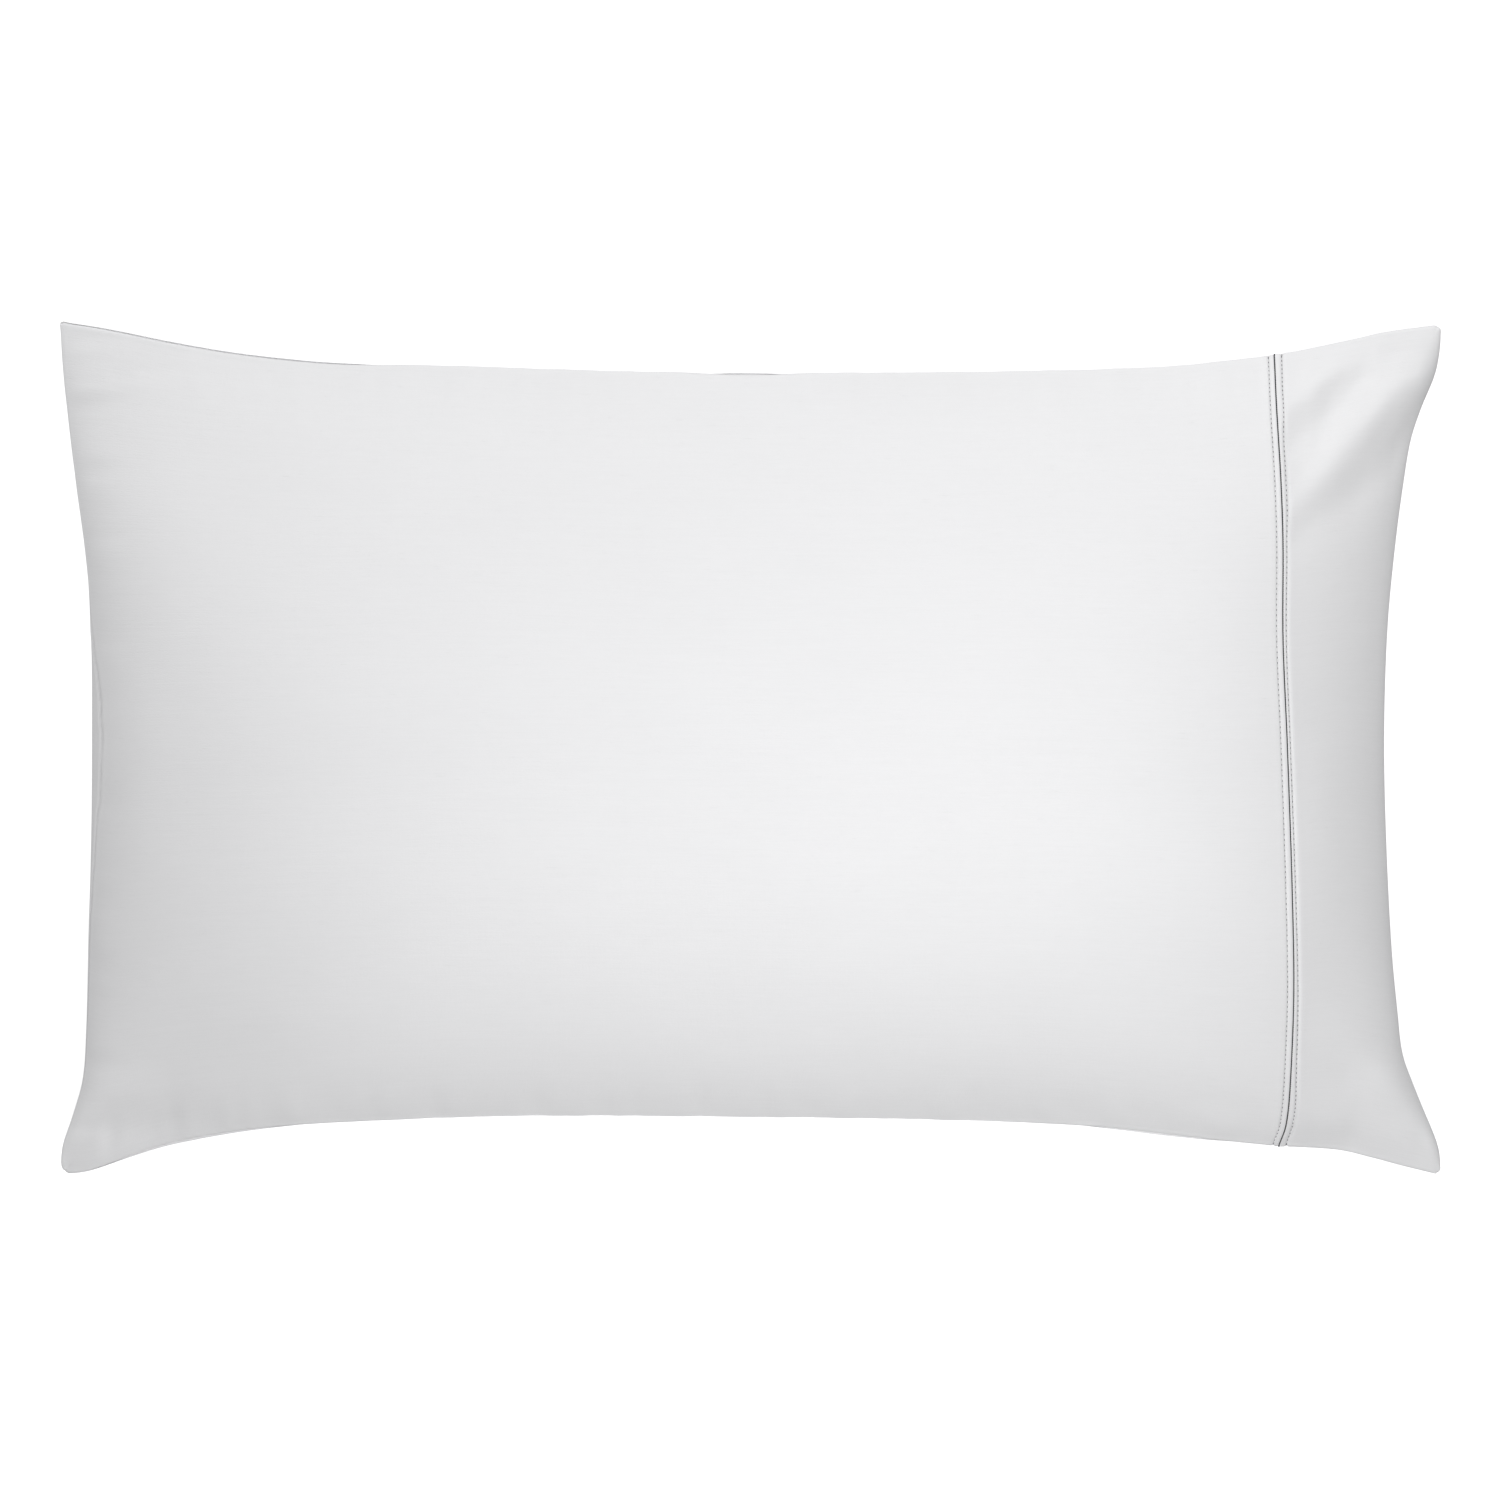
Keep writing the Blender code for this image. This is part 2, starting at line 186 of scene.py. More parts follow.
CUFF_EDGE = (
    EdgeStop(0.00015, -0.00150), EdgeStop(0.00018, -0.00070), EdgeStop(0.00024, -0.00035),
    EdgeStop(0.00040, -0.00002), EdgeStop(0.00070, 0.00020), EdgeStop(0.00105, 0.00026),
    EdgeStop(0.00140, 0.00018), EdgeStop(0.00170, -0.00020), EdgeStop(0.00200, -0.00080),
    EdgeStop(0.00230, -0.00105), EdgeStop(0.00260, -0.00085), EdgeStop(0.00300, -0.00035),
    EdgeStop(0.00370, 0.00002), EdgeStop(0.00480, 0.00012), EdgeStop(0.00650, 0.00006),
    EdgeStop(0.00820, 0.00001), EdgeStop(0.01000, 0.0),
)
BODY_STITCHES_AT = 0.0034
CUFF_STITCHES_AT = 0.0023
CUFF_ROW_SPREAD = 0.0019  # the cuff's stitches lie this much further out at both sides of the pillow
SPREAD_START = 0.0008
SPREAD_FULL = 0.0030
RELIEF_END = 0.004  # other sewn edges end this close to the cuff seam

# The sewn edge wanders round the side of the pillow: how far it lies up on the front.
Rise = namedtuple("Rise", "along rise")
TOP_RISE = (
    Rise(0.00, 0.0), Rise(0.03, 0.0004), Rise(0.08, 0.0006), Rise(0.16, 0.0006), Rise(0.22, 0.0002),
    Rise(0.30, -0.003), Rise(0.43, -0.002), Rise(0.50, 0.0008), Rise(0.56, -0.002), Rise(0.68, -0.003),
    Rise(0.85, -0.002), Rise(1.00, 0.0),
)
BOTTOM_RISE = (
    Rise(0.00, 0.0), Rise(0.12, 0.001), Rise(0.30, -0.003), Rise(0.62, -0.004), Rise(0.78, 0.001),
    Rise(0.90, -0.001), Rise(1.00, 0.0),
)
FOOT_RISE = (
    Rise(0.00, 0.0), Rise(0.15, 0.001), Rise(0.30, 0.003), Rise(0.40, 0.0090), Rise(0.47, 0.0140),
    Rise(0.52, 0.0150), Rise(0.57, 0.0115), Rise(0.61, 0.0065), Rise(0.65, 0.0020), Rise(0.72, 0.0),
    Rise(1.00, 0.0),
)
FURROW_DEPTH = 0.0008
FURROW_HALF_WIDTH = 0.0007
PRESSED_IN = 1.4  # the foot's furrow gains this share of its depth where it lies on the front
PRESSED_AT = 0.56  # how far up the foot that is
PRESSED_REACH = 0.07
SHOULDER = 0.00022  # the cloth swells beside the stitched line
SHOULDER_AT = 0.0026
SHOULDER_HALF_WIDTH = 0.0016
MOUTH_SLIT_DEPTH = 0.0009  # the two hem edges lie together at the open end
MOUTH_SLIT_HALF_WIDTH = 0.0005

# Puckers that run in from the sewn edge.
Wave = namedtuple("Wave", "length turn height")
PUCKERS = (
    Wave(0.0125, 0.4, 0.00010), Wave(0.0187, 2.1, 0.00016), Wave(0.0310, 4.0, 0.00020),
    Wave(0.0530, 1.2, 0.00022),
)
PUCKER_REACH = 0.016
TOP_PUCKERS_FROM = 0.37  # so that the top side's puckers differ from the bottom side's

# Grid steps, as angles round a half circle: even in the band at the edge, then growing to the middle's.
EDGE_STEP = 0.0052
EDGE_BAND = 0.11
GROWTH = 1.16
MIDDLE_STEP_ACROSS = 0.0215
MIDDLE_STEP_ALONG = 0.0135

# The settling of the cloth over its filling.
SETTLING_RINGS = 150
SETTLING_ROWS = 74
SETTLING_FRAMES = 20
SETTLING_QUALITY = 6
SETTLING_PRESSURE = 4.0
BENDING_STIFFNESS = 0.4
SQUEEZED = 0.985  # it starts slightly smaller
HELD_FULLNESS = 0.12  # the cloth is held at the sewn edge, where the pillow is less full than this
HELD_AT_SEAM = 0.9  # how firmly the cuff seam holds it, and how far from the seam
HELD_REACH = 0.008
SLACK = 0.02  # cloth gathered along the seams
SLACK_FULLNESS = 0.6  # the slack ends where the pillow is fuller than this
SLACK_AT_SEAM = 0.6
SLACK_REACH = 0.04
RIPPLE_SMOOTHING = 60  # passes: evens out all but the ripples
RIPPLE_SHARE = 0.6  # what the tight filling leaves of the ripples
RIPPLE_CAP = 0.006
RIPPLE_EDGE = 0.020  # ripples fade this close to a sewn edge
RIPPLE_SEAM = 0.015  # and this close to the cuff seam
REST_BAND = 0.006  # and below this height, where the pillow rests

CLOTH_MAP = "cloth_run"  # the place on the cut cloth, in metres

# ---------------------------------------------------------------------------------------------------
# The form, worked out on whole grids of points.


def mix(a, b, share):
    return a + (b - a) * share


def ease(share):
    share = np.clip(share, 0.0, 1.0)
    return share * share * (3 - 2 * share)


def smooth_value(stops, along):
    """The second column of a table at places along it, on a smooth curve through its rows."""
    at, value = np.array(stops).T
    last = len(at) - 1
    before = np.maximum(np.arange(last + 1) - 1, 0)
    after = np.minimum(np.arange(last + 1) + 1, last)
    slope = (value[after] - value[before]) / (at[after] - at[before])
    i = np.clip(np.searchsorted(at, along, side="right") - 1, 0, last - 1)
    span = at[i + 1] - at[i]
    t = (along - at[i]) / span
    rise, settle = t * t * (3 - 2 * t), t * (1 - t)
    return mix(value[i], value[i + 1], rise) + span * settle * ((1 - t) * slope[i] - t * slope[i + 1])


def foot_x(up):
    return mix(FOOT_BOTTOM.x, FOOT_TOP.x, up) + smooth_value(FOOT_SIDE, up)


def mouth_x(up):
    return mix(CUFF_BOTTOM.x, CUFF_TOP.x, up) - smooth_value(MOUTH_SIDE, up)


def seam_x(up):
    return smooth_value(CUFF_SEAM, up)


def y_at(x, up):
    """How far across the pillow a point is that lies a share up between the two long sides."""
    along = np.clip((x - FOOT_TOP.x) / LENGTH, 0.0, 1.0)
    low = mix(FOOT_BOTTOM.y, CUFF_BOTTOM.y, along) + smooth_value(BOTTOM_SIDE, along)
    high = mix(FOOT_TOP.y, CUFF_TOP.y, along) - smooth_value(TOP_SIDE, along)
    return mix(low, high, up)


def rounded(x, up):
    """Points of the square-cornered plan, pulled in near a corner so that its tip becomes round."""
    at_foot, at_bottom = x < 0, up < 0.5
    foot_radius = np.where(at_bottom, FOOT_BOTTOM.radius, FOOT_TOP.radius)
    cuff_radius = np.where(at_bottom, CUFF_BOTTOM.radius, CUFF_TOP.radius)
    radius = np.where(at_foot, foot_radius, cuff_radius)
    from_end = np.where(at_foot, x - foot_x(up), mouth_x(up) - x)
    from_side = DEPTH * np.minimum(up, 1 - up)
    a, b = radius - from_end, radius - from_side
    near = (a > 0) & (b > 0)
    pull = np.where(near, np.maximum(a, b) / np.maximum(np.hypot(a, b), TINY), 1.0)
    from_end, from_side = radius - a * pull, radius - b * pull
    new_up = np.where(at_bottom, from_side / DEPTH, 1 - from_side / DEPTH)
    new_x = np.where(at_foot, foot_x(new_up) + from_end, mouth_x(new_up) - from_end)
    return np.where(near, new_x, x), np.where(near, new_up, up)


def near_ear(x, up):
    """1 at the tip of a corner, falling to 0 further in."""
    from_end = np.minimum(x - foot_x(up), mouth_x(up) - x)
    from_side = DEPTH * np.minimum(up, 1 - up)
    return np.exp(-(from_end**2 + from_side**2) / EAR_REACH**2)


def share_along(x, up):
    foot, mouth = foot_x(up), mouth_x(up)
    return np.clip((x - foot) / (mouth - foot), 0.0, 1.0)


def of_corners(part, x, up):
    """One of the corners' values at any points, blended from each corner to the next."""
    along = ease(share_along(x, up))
    low = mix(getattr(FOOT_BOTTOM, part), getattr(CUFF_BOTTOM, part), along)
    high = mix(getattr(FOOT_TOP, part), getattr(CUFF_TOP, part), along)
    return mix(low, high, ease(up))


def section_height(section, share):
    """The height of a section, 0 at its two ends and 1 at its crown."""
    off_crown = 2 * share - 1 - section.crown_place
    before = off_crown < 0
    off_crown = np.abs(off_crown) / np.where(before, 1 + section.crown_place, 1 - section.crown_place)
    plateau = np.where(before, section.start_plateau, section.end_plateau)
    return np.maximum(1 - off_crown**plateau, TINY) ** section.rounding


def fullness(x, up):
    """How much filling is under a point: 0 at the sewn edge, 1 at the crown."""
    lengthways = section_height(LENGTHWAYS, share_along(x, up))
    crossways = section_height(CROSSWAYS, up)
    full = 1 / (1 / lengthways + 1 / crossways - 1)
    return full * (1 - of_corners("flattening", x, up) * near_ear(x, up))


def fold_height(x, y, folds):
    """What the folds add at points of the front. Each fold fades towards both of its ends."""
    total = np.zeros_like(x)
    for fold in folds:
        run_x, run_y = fold.x1 - fold.x0, fold.y1 - fold.y0
        length = math.hypot(run_x, run_y)
        along = ((x - fold.x0) * run_x + (y - fold.y0) * run_y) / length**2
        off_line = ((x - fold.x0) * run_y - (y - fold.y0) * run_x) / length / fold.half_width
        total += fold.height * np.exp(-(off_line**2) - (2 * along - 1) ** 4)
    return total


def form(x, theta):
    """Points of the pillow's surface.

    theta goes round the pillow: over the front from the bottom side at 0 to the top side at a half
    turn, and back underneath. x is each point's place along it.
    """
    up = np.broadcast_to((1 - np.cos(theta)) / 2, x.shape)
    front = np.broadcast_to(theta < math.pi, x.shape)
    plan_x, plan_up = rounded(x, up)
    y = y_at(plan_x, plan_up)
    edge = SEAM_HEIGHT - of_corners("droop", x, up) * near_ear(x, up)
    full = fullness(x, up)
    on_cuff = np.maximum(x - seam_x(up), 0.0)
    dip = CUFF_SLOPE * on_cuff * np.exp(-on_cuff / CUFF_SLOPE_REACH)
    dip = dip * (1 - (1 - np.minimum(full / CUFF_SLOPE_EDGE, 1.0)) ** 2)
    over = edge + CROWN * full - dip + fold_height(x, y, FOLDS) * np.minimum(full / FOLD_EDGE, 1.0)
    under = edge * (1 - np.minimum(full / REST_FULLNESS, 1.0)) ** BACK_ROUNDING
    return np.stack((plan_x, y, np.where(front, over, under)), axis=-1)


def angle_along(x, up):
    """The place along the pillow as an angle: 0 at the foot, SEAM_ANGLE at the seam, pi at the mouth."""
    cut = math.cos(SEAM_ANGLE)
    foot, seam, mouth = foot_x(up), seam_x(up), mouth_x(up)
    on_body = np.arccos(np.clip(1 - (1 - cut) * (x - foot) / (seam - foot), -1, 1))
    on_cuff = np.arccos(np.clip(cut - (1 + cut) * (x - seam) / (mouth - seam), -1, 1))
    return np.where(x < seam, on_body, on_cuff)


def x_at_angle(angle, up):
    """The place along the pillow that belongs to such an angle."""
    cut = math.cos(SEAM_ANGLE)
    body_share = (1 - np.cos(angle)) / (1 - cut)
    cuff_share = (cut - np.cos(angle)) / (1 + cut)
    on_body = mix(foot_x(up), seam_x(up), body_share)
    on_cuff = mix(seam_x(up), mouth_x(up), cuff_share)
    return np.where(angle <= SEAM_ANGLE, on_body, on_cuff)


def crowding_steps(length, middle_step):
    """Places from 0 to length: fine steps first, which then grow."""
    places, step = [0.0], EDGE_STEP
    while places[-1] < length:
        places.append(places[-1] + step)
        if places[-1] > EDGE_BAND:
            step = min(step * GROWTH, middle_step)
    return np.array(places) * (length / places[-1])


def round_the_pillow(quarter):
    """Angles of a whole ring from those of its first quarter."""
    front = np.concatenate((quarter, math.pi - quarter[-2::-1]))
    return np.concatenate((front, 2 * math.pi - front[-2:0:-1]))


def opposite(count):
    """For each point of a ring, the one at the same place on the other face."""
    return (-np.arange(count)) % count


# ---------------------------------------------------------------------------------------------------
# Normals, lengths and ripples on a grid.


def unit(vectors):
    length = np.linalg.norm(vectors, axis=-1, keepdims=True)
    return vectors / np.maximum(length, NO_LENGTH)


def grid_normals(points, folded_first, folded_last):
    """Outward normals of a grid of rings. At a folded end the front goes on into the back."""
    turned = opposite(points.shape[1])
    before = points[1][turned] if folded_first else 2 * points[0] - points[1]
    after = points[-2][turned] if folded_last else 2 * points[-1] - points[-2]
    padded = np.concatenate(([before], points, [after]))
    along = padded[2:] - padded[:-2]
    around = np.roll(points, -1, axis=1) - np.roll(points, 1, axis=1)
    if folded_first:
        half = len(turned) // 2
        around[0, half:] = -around[0][turned][half:]
    return unit(np.cross(along, around))


def running_length(points):
    """The length run over the first axis of a grid up to each of its rows."""
    steps = np.linalg.norm(np.diff(points, axis=0), axis=-1)
    return np.concatenate((np.zeros((1,) + steps.shape[1:]), np.cumsum(steps, axis=0)))


Lengths = namedtuple("Lengths", "from_bottom from_top across")


def girth_lengths(points):
    """Each point's way over the cloth to the two sides' sewn edges, and its place on the cut width."""
    half = points.shape[1] // 2
    closed = np.concatenate((points, points[:, :1]), axis=1)
    run = np.swapaxes(running_length(np.swapaxes(closed, 0, 1)), 0, 1)
    front, whole = run[:, half : half + 1], run[:, -1:]
    on_front = np.arange(run.shape[1]) <= half
    from_bottom = np.where(on_front, run, run - whole)
    from_top = front - run
    across = np.where(on_front, run / front, 1 + (run - front) / (whole - front))
    return Lengths(from_bottom[:, :-1], from_top[:, :-1], across)


def furrow(distance, depth):
    """The sewn edge's line, pressed into the cloth, with a slight swell on both sides of it."""
    line = -depth * np.exp(-((distance / FURROW_HALF_WIDTH) ** 2))
    beside = (np.abs(distance) - SHOULDER_AT) / SHOULDER_HALF_WIDTH
    return line + SHOULDER * np.exp(-(beside**2))


def waves(run, distance):
    """Puckers along a sewn edge: none in the edge itself, most at PUCKER_REACH from it."""
    total = sum(wave.height * np.sin(2 * math.pi * run / wave.length + wave.turn) for wave in PUCKERS)
    away = np.abs(distance) / PUCKER_REACH
    return total * away * np.exp((1 - away**2) / 2)


def smoothed(values, passes):
    """Evens out a grid: each point takes on some of its neighbours, along and around."""
    for _ in range(passes):
        inner = values[1:-1] * 0.5 + (values[2:] + values[:-2]) * 0.25
        values = np.concatenate((values[:1], inner, values[-1:]))
        values = values * 0.5 + (np.roll(values, 1, axis=1) + np.roll(values, -1, axis=1)) * 0.25
    return values


def settling_grid():
    along = np.linspace(0, math.pi, SETTLING_RINGS + 1)
    around = round_the_pillow(np.linspace(0, math.pi / 2, SETTLING_ROWS // 2 + 1))
    return along, around


def grid_faces(index):
    """Quads between neighbouring rings of vertex numbers, facing out."""
    near, far = index[:-1], index[1:]
    corners = (near, far, np.roll(far, -1, axis=1), np.roll(near, -1, axis=1))
    return np.stack(corners, axis=-1).reshape(-1, 4)


def ring_index(rings, around, folded_first, folded_last):
    """Vertex numbers of a grid. At a folded end the front and the back share theirs."""
    index = np.arange(rings * around).reshape(rings, around)
    shared = np.minimum(np.arange(around), opposite(around))
    if folded_first:
        index[0] = index[0][shared]
    if folded_last:
        index[-1] = index[-1][shared]
    return index


@functools.lru_cache(maxsize=None)
def settled_ripples():
    """How far the cloth moves, point by point, when it settles over the push of its filling.

    A coarser copy of the whole pillow starts slightly smaller, with some slack cloth at its seams, and
    swells. What is left once the even swelling is taken off are the ripples that the slack makes.
    """
    along, around = settling_grid()
    up = (1 - np.cos(around)) / 2
    x = x_at_angle(along[:, None], up[None, :])
    points = form(x, around)
    middle = np.array((0.0, 0.0, SEAM_HEIGHT))
    start = middle + (points - middle) * SQUEEZED
    index = ring_index(*points.shape[:2], True, True)
    used, faces = np.unique(grid_faces(index), return_inverse=True)
    mesh = bpy.data.meshes.new("settling_cloth")
    mesh.from_pydata(start.reshape(-1, 3)[used].tolist(), [], faces.reshape(-1, 4).tolist())
    cloth = bpy.data.objects.new("settling_cloth", mesh)
    bpy.context.scene.collection.objects.link(cloth)

    full = fullness(x, np.broadcast_to(up, x.shape))
    off_seam = np.abs(x - seam_x(up)[None, :])
    held = np.maximum(1 - ease(full / HELD_FULLNESS), HELD_AT_SEAM * (1 - ease(off_seam / HELD_REACH)))
    held = np.maximum(held, 1 - ease(points[..., 2] / REST_BAND))
    slack = np.maximum(1 - ease(full / SLACK_FULLNESS), SLACK_AT_SEAM * (1 - ease(off_seam / SLACK_REACH)))
    held_group = cloth.vertex_groups.new(name="held")
    slack_group = cloth.vertex_groups.new(name="slack")
    for vertex, place in enumerate(used):
        held_group.add([vertex], float(held.flat[place]), "REPLACE")
        slack_group.add([vertex], float(slack.flat[place]), "REPLACE")

    settings = cloth.modifiers.new("settling", "CLOTH").settings
    settings.quality = SETTLING_QUALITY
    settings.use_pressure = True
    settings.uniform_pressure_force = SETTLING_PRESSURE
    settings.effector_weights.gravity = 0
    settings.bending_stiffness = BENDING_STIFFNESS
    settings.vertex_group_mass = "held"
    settings.shrink_min = 0.0
    settings.vertex_group_shrink = "slack"
    settings.shrink_max = -SLACK
    scene = bpy.context.scene
    for number in range(1, SETTLING_FRAMES + 1):
        scene.frame_set(number)
    settled = cloth.evaluated_get(bpy.context.evaluated_depsgraph_get())
    moved = np.empty(len(used) * 3, np.float32)
    settled.data.vertices.foreach_get("co", moved)
    scene.frame_set(1)
    bpy.data.objects.remove(cloth)
    bpy.data.meshes.remove(mesh)

    before = start.reshape(-1, 3)
    after = before.copy()
    after[used] = moved.reshape(-1, 3)
    ripples = (after - before)[index.reshape(-1)].reshape(points.shape)
    ripples = (ripples - smoothed(ripples, RIPPLE_SMOOTHING)) * RIPPLE_SHARE
    length = np.linalg.norm(ripples, axis=-1, keepdims=True)
    return ripples * np.minimum(1.0, RIPPLE_CAP / np.maximum(length, TINY))


def between(places, wanted):
    """Lower neighbour and share for each wanted place in an even, rising list of places."""
    last = len(places) - 1
    position = np.clip((wanted - places[0]) / (places[1] - places[0]), 0, last)
    low = np.minimum(position.astype(int), last - 1)
    return low, ease(position - low)


def ripples_at(x, theta):
    """The settled ripples at any points of the form."""
    along, around = settling_grid()
    ripples = settled_ripples()
    up = np.broadcast_to((1 - np.cos(theta)) / 2, x.shape)
    i, i_share = between(along, angle_along(x, up))
    j, j_share = between(np.append(around, 2 * math.pi), np.broadcast_to(theta, x.shape))
    next_j = (j + 1) % len(around)
    i_share, j_share = i_share[..., None], j_share[..., None]
    near = mix(ripples[i, j], ripples[i, next_j], j_share)
    far = mix(ripples[i + 1, j], ripples[i + 1, next_j], j_share)
    return mix(near, far, i_share)


# ---------------------------------------------------------------------------------------------------
# The two cloths.

Cloth = namedtuple("Cloth", "points normals from_seam cloth_u cloth_v")


def edge_rings(edge, is_body):
    """Distances and heights of the rings that follow the cuff seam, from foot to mouth."""
    return np.array(edge[::-1] if is_body else edge).T


def shaped(x, theta, distance, height, is_body):
    """The cloth of one piece: its form, with ripples, sewn edges, puckers and the cuff seam's edge."""
    points = form(x, theta)
    up = np.broadcast_to((1 - np.cos(theta)) / 2, x.shape)
    on_front = np.broadcast_to(theta <= math.pi, x.shape)
    off_seam = np.abs(x - seam_x(up))
    creases = fold_height(points[..., 0], points[..., 1], BODY_CREASES if is_body else CUFF_CREASES)
    creases = creases * np.minimum(fullness(x, up) / FOLD_EDGE, 1.0) * ease(off_seam / CREASE_END)
    points[..., 2] += np.where(on_front, creases, 0.0)
    lengths = girth_lengths(points)
    run = running_length(points)
    from_end = run if is_body else run[-1] - run
    from_end = np.where(on_front, from_end, -from_end)
    along = np.clip((x - FOOT_TOP.x) / LENGTH, 0, 1)

    off_bottom = lengths.from_bottom - smooth_value(BOTTOM_RISE, along)
    off_top = lengths.from_top - smooth_value(TOP_RISE, along)
    nearest_side = np.minimum(np.abs(off_bottom), np.abs(off_top))
    depth = np.full(x.shape, FURROW_DEPTH)
    relief = furrow(off_bottom, depth) + furrow(off_top, depth)
    relief += waves(x + np.where(up < 0.5, 0.0, TOP_PUCKERS_FROM), nearest_side)
    if is_body:
        off_end = from_end - smooth_value(FOOT_RISE, up)
        depth = depth * (1 + PRESSED_IN * np.exp(-(((up - PRESSED_AT) / PRESSED_REACH) ** 2)))
        relief += furrow(off_end, depth)
        relief += waves(points[..., 1], from_end)
    else:
        relief -= MOUTH_SLIT_DEPTH * np.exp(-((from_end / MOUTH_SLIT_HALF_WIDTH) ** 2))
    relief = np.maximum(relief, -depth - SHOULDER)
    relief = relief * ease(off_seam / RELIEF_END) + height[:, None]

    loose = ease(np.minimum(nearest_side, np.abs(from_end)) / RIPPLE_EDGE) * ease(off_seam / RIPPLE_SEAM)
    loose = loose * ease(points[..., 2] / REST_BAND)
    points = points + ripples_at(x, theta) * loose[..., None]
    points = points + grid_normals(points, is_body, not is_body) * relief[..., None]
    points[..., 2] = np.maximum(points[..., 2], 0.0)
    u = np.concatenate((run, run[:, :1]), axis=1)
    v = lengths.across * DEPTH
    return Cloth(points, grid_normals(points, is_body, not is_body), distance, u, v)


@functools.lru_cache(maxsize=None)
def body_cloth():
    """The body from foot to cuff seam."""
    theta = round_the_pillow(crowding_steps(math.pi / 2, MIDDLE_STEP_ACROSS))
    up = (1 - np.cos(theta)) / 2
    distance, height = edge_rings(BODY_EDGE, True)
    angles = crowding_steps(SEAM_ANGLE, MIDDLE_STEP_ALONG)[:-1]
    share = (1 - np.cos(angles)) / (1 - math.cos(SEAM_ANGLE))
    main = mix(foot_x(up)[None, :], (seam_x(up) - EDGE_REACH)[None, :], share[:, None])
    edge = seam_x(up)[None, :] - distance[:, None]
    x = np.concatenate((main, edge))
    distance = np.concatenate((np.full(len(main), LENGTH), distance))
    height = np.concatenate((np.zeros(len(main)), height))
    return shaped(x, theta, distance, height, True)


@functools.lru_cache(maxsize=None)
def cuff_cloth():
    """The cuff from its seam to the mouth."""
    theta = round_the_pillow(crowding_steps(math.pi / 2, MIDDLE_STEP_ACROSS))
    up = (1 - np.cos(theta)) / 2
    distance, height = edge_rings(CUFF_EDGE, False)
    cut = math.cos(SEAM_ANGLE)
    angles = math.pi - crowding_steps(math.pi - SEAM_ANGLE, MIDDLE_STEP_ALONG)[-2::-1]
    share = (cut - np.cos(angles)) / (1 + cut)
    main = mix((seam_x(up) + EDGE_REACH)[None, :], mouth_x(up)[None, :], share[:, None])
    stitched = ease((distance - SPREAD_START) / SPREAD_START)
    stitched = stitched * (1 - ease((distance - SPREAD_FULL) / (EDGE_REACH - SPREAD_FULL)))
    spread = CUFF_ROW_SPREAD * (2 * up - 1) ** 2
    edge = seam_x(up)[None, :] + distance[:, None] + stitched[:, None] * spread[None, :]
    x = np.concatenate((edge, main))
    distance = np.concatenate((distance, np.full(len(main), LENGTH)))
    height = np.concatenate((height, np.zeros(len(main))))
    return shaped(x, theta, distance, height, False)


def end_wall(ring, facing_mouth):
    """Rungs from the front down to the back, which close the end that the seam hides."""
    half = len(ring) // 2
    rungs = []
    for k in range(half):
        corners = [ring[k], ring[k + 1], ring[-k - 1], ring[-k]]
        corners = list(dict.fromkeys(int(c) for c in corners))
        rungs.append(corners[::-1] if facing_mouth else corners)
    return rungs


def cloth_object(name, cloth, is_body):
    """A closed mesh of one cloth, with the place on the cut cloth as its map."""
    rings, around = cloth.points.shape[:2]
    index = ring_index(rings, around, is_body, not is_body)
    used, quads = np.unique(grid_faces(index), return_inverse=True)
    quads = quads.reshape(-1, 4)
    number = np.full(rings * around, -1)
    number[used] = np.arange(len(used))
    hidden_ring = number[index[-1] if is_body else index[0]]
    rungs = end_wall(hidden_ring, is_body)
    mesh = bpy.data.meshes.new(name)
    mesh.from_pydata(cloth.points.reshape(-1, 3)[used].tolist(), [], quads.tolist() + rungs)
    place = np.stack((cloth.cloth_u, cloth.cloth_v), axis=-1)
    corners = (place[:-1, :-1], place[1:, :-1], place[1:, 1:], place[:-1, 1:])
    values = np.zeros((len(mesh.loops), 2), np.float32)
    values[: quads.size] = np.stack(corners, axis=2).reshape(-1, 2)
    mesh.uv_layers.new(name=CLOTH_MAP).data.foreach_set("uv", values.ravel())
    mesh.shade_smooth()
    piece = bpy.data.objects.new(name, mesh)
    bpy.context.scene.collection.objects.link(piece)
    return piece


# ---------------------------------------------------------------------------------------------------
# Thread and cord.

TUBE_SIDES = 8
LOOK_AHEAD = 0.0004  # a line's direction is taken over this length

STITCH_RINGS = 9
STITCH_BRIDGE = 0.0007  # how far a stitch rises over the bottom of its furrow
STITCH_ARCH = 0.6  # below 1 its arch has steep ends
STITCH_SINK = 0.9  # how deep its ends lie, as a share of the thread's radius
THREAD_END = 0.55  # the thread's thickness at its ends, as a share of the full one
THREAD_SWELL = 0.5
# Each needle hole gets a short dark tube: painted shade where the thread dives into the cloth.
HOLE_SHADE_RINGS = 3
HOLE_SHADE_END = 0.6  # the width of a needle hole's painted shade at its ends, as a share of the full one

Row = namedtuple("Row", "name distance hole_diameter")
BODY_ROW = Row("body_stitches", BODY_STITCHES_AT, 0.00056)
CUFF_ROW = Row("cuff_stitches", CUFF_STITCHES_AT, 0.00060)

EDGE_LIP = 0.00040  # where the folded edges beside the cord are highest, from the seam
CORD_SINK = 0.00030  # the cord's middle below them
CORD_PLIES = 2
CORD_STEP = 0.00045
CORD_TWIST = 0.0026  # length of one full turn
PLY_RADIUS = 0.29  # as shares of the cord's diameter
PLY_OFFSET = 0.21


def ring_along(cloth, distance):
    """A closed line over the cloth at a distance from the cuff seam, with its normals."""
    ring = int(np.argmin(np.abs(cloth.from_seam - distance)))
    return cloth.points[ring], cloth.normals[ring]


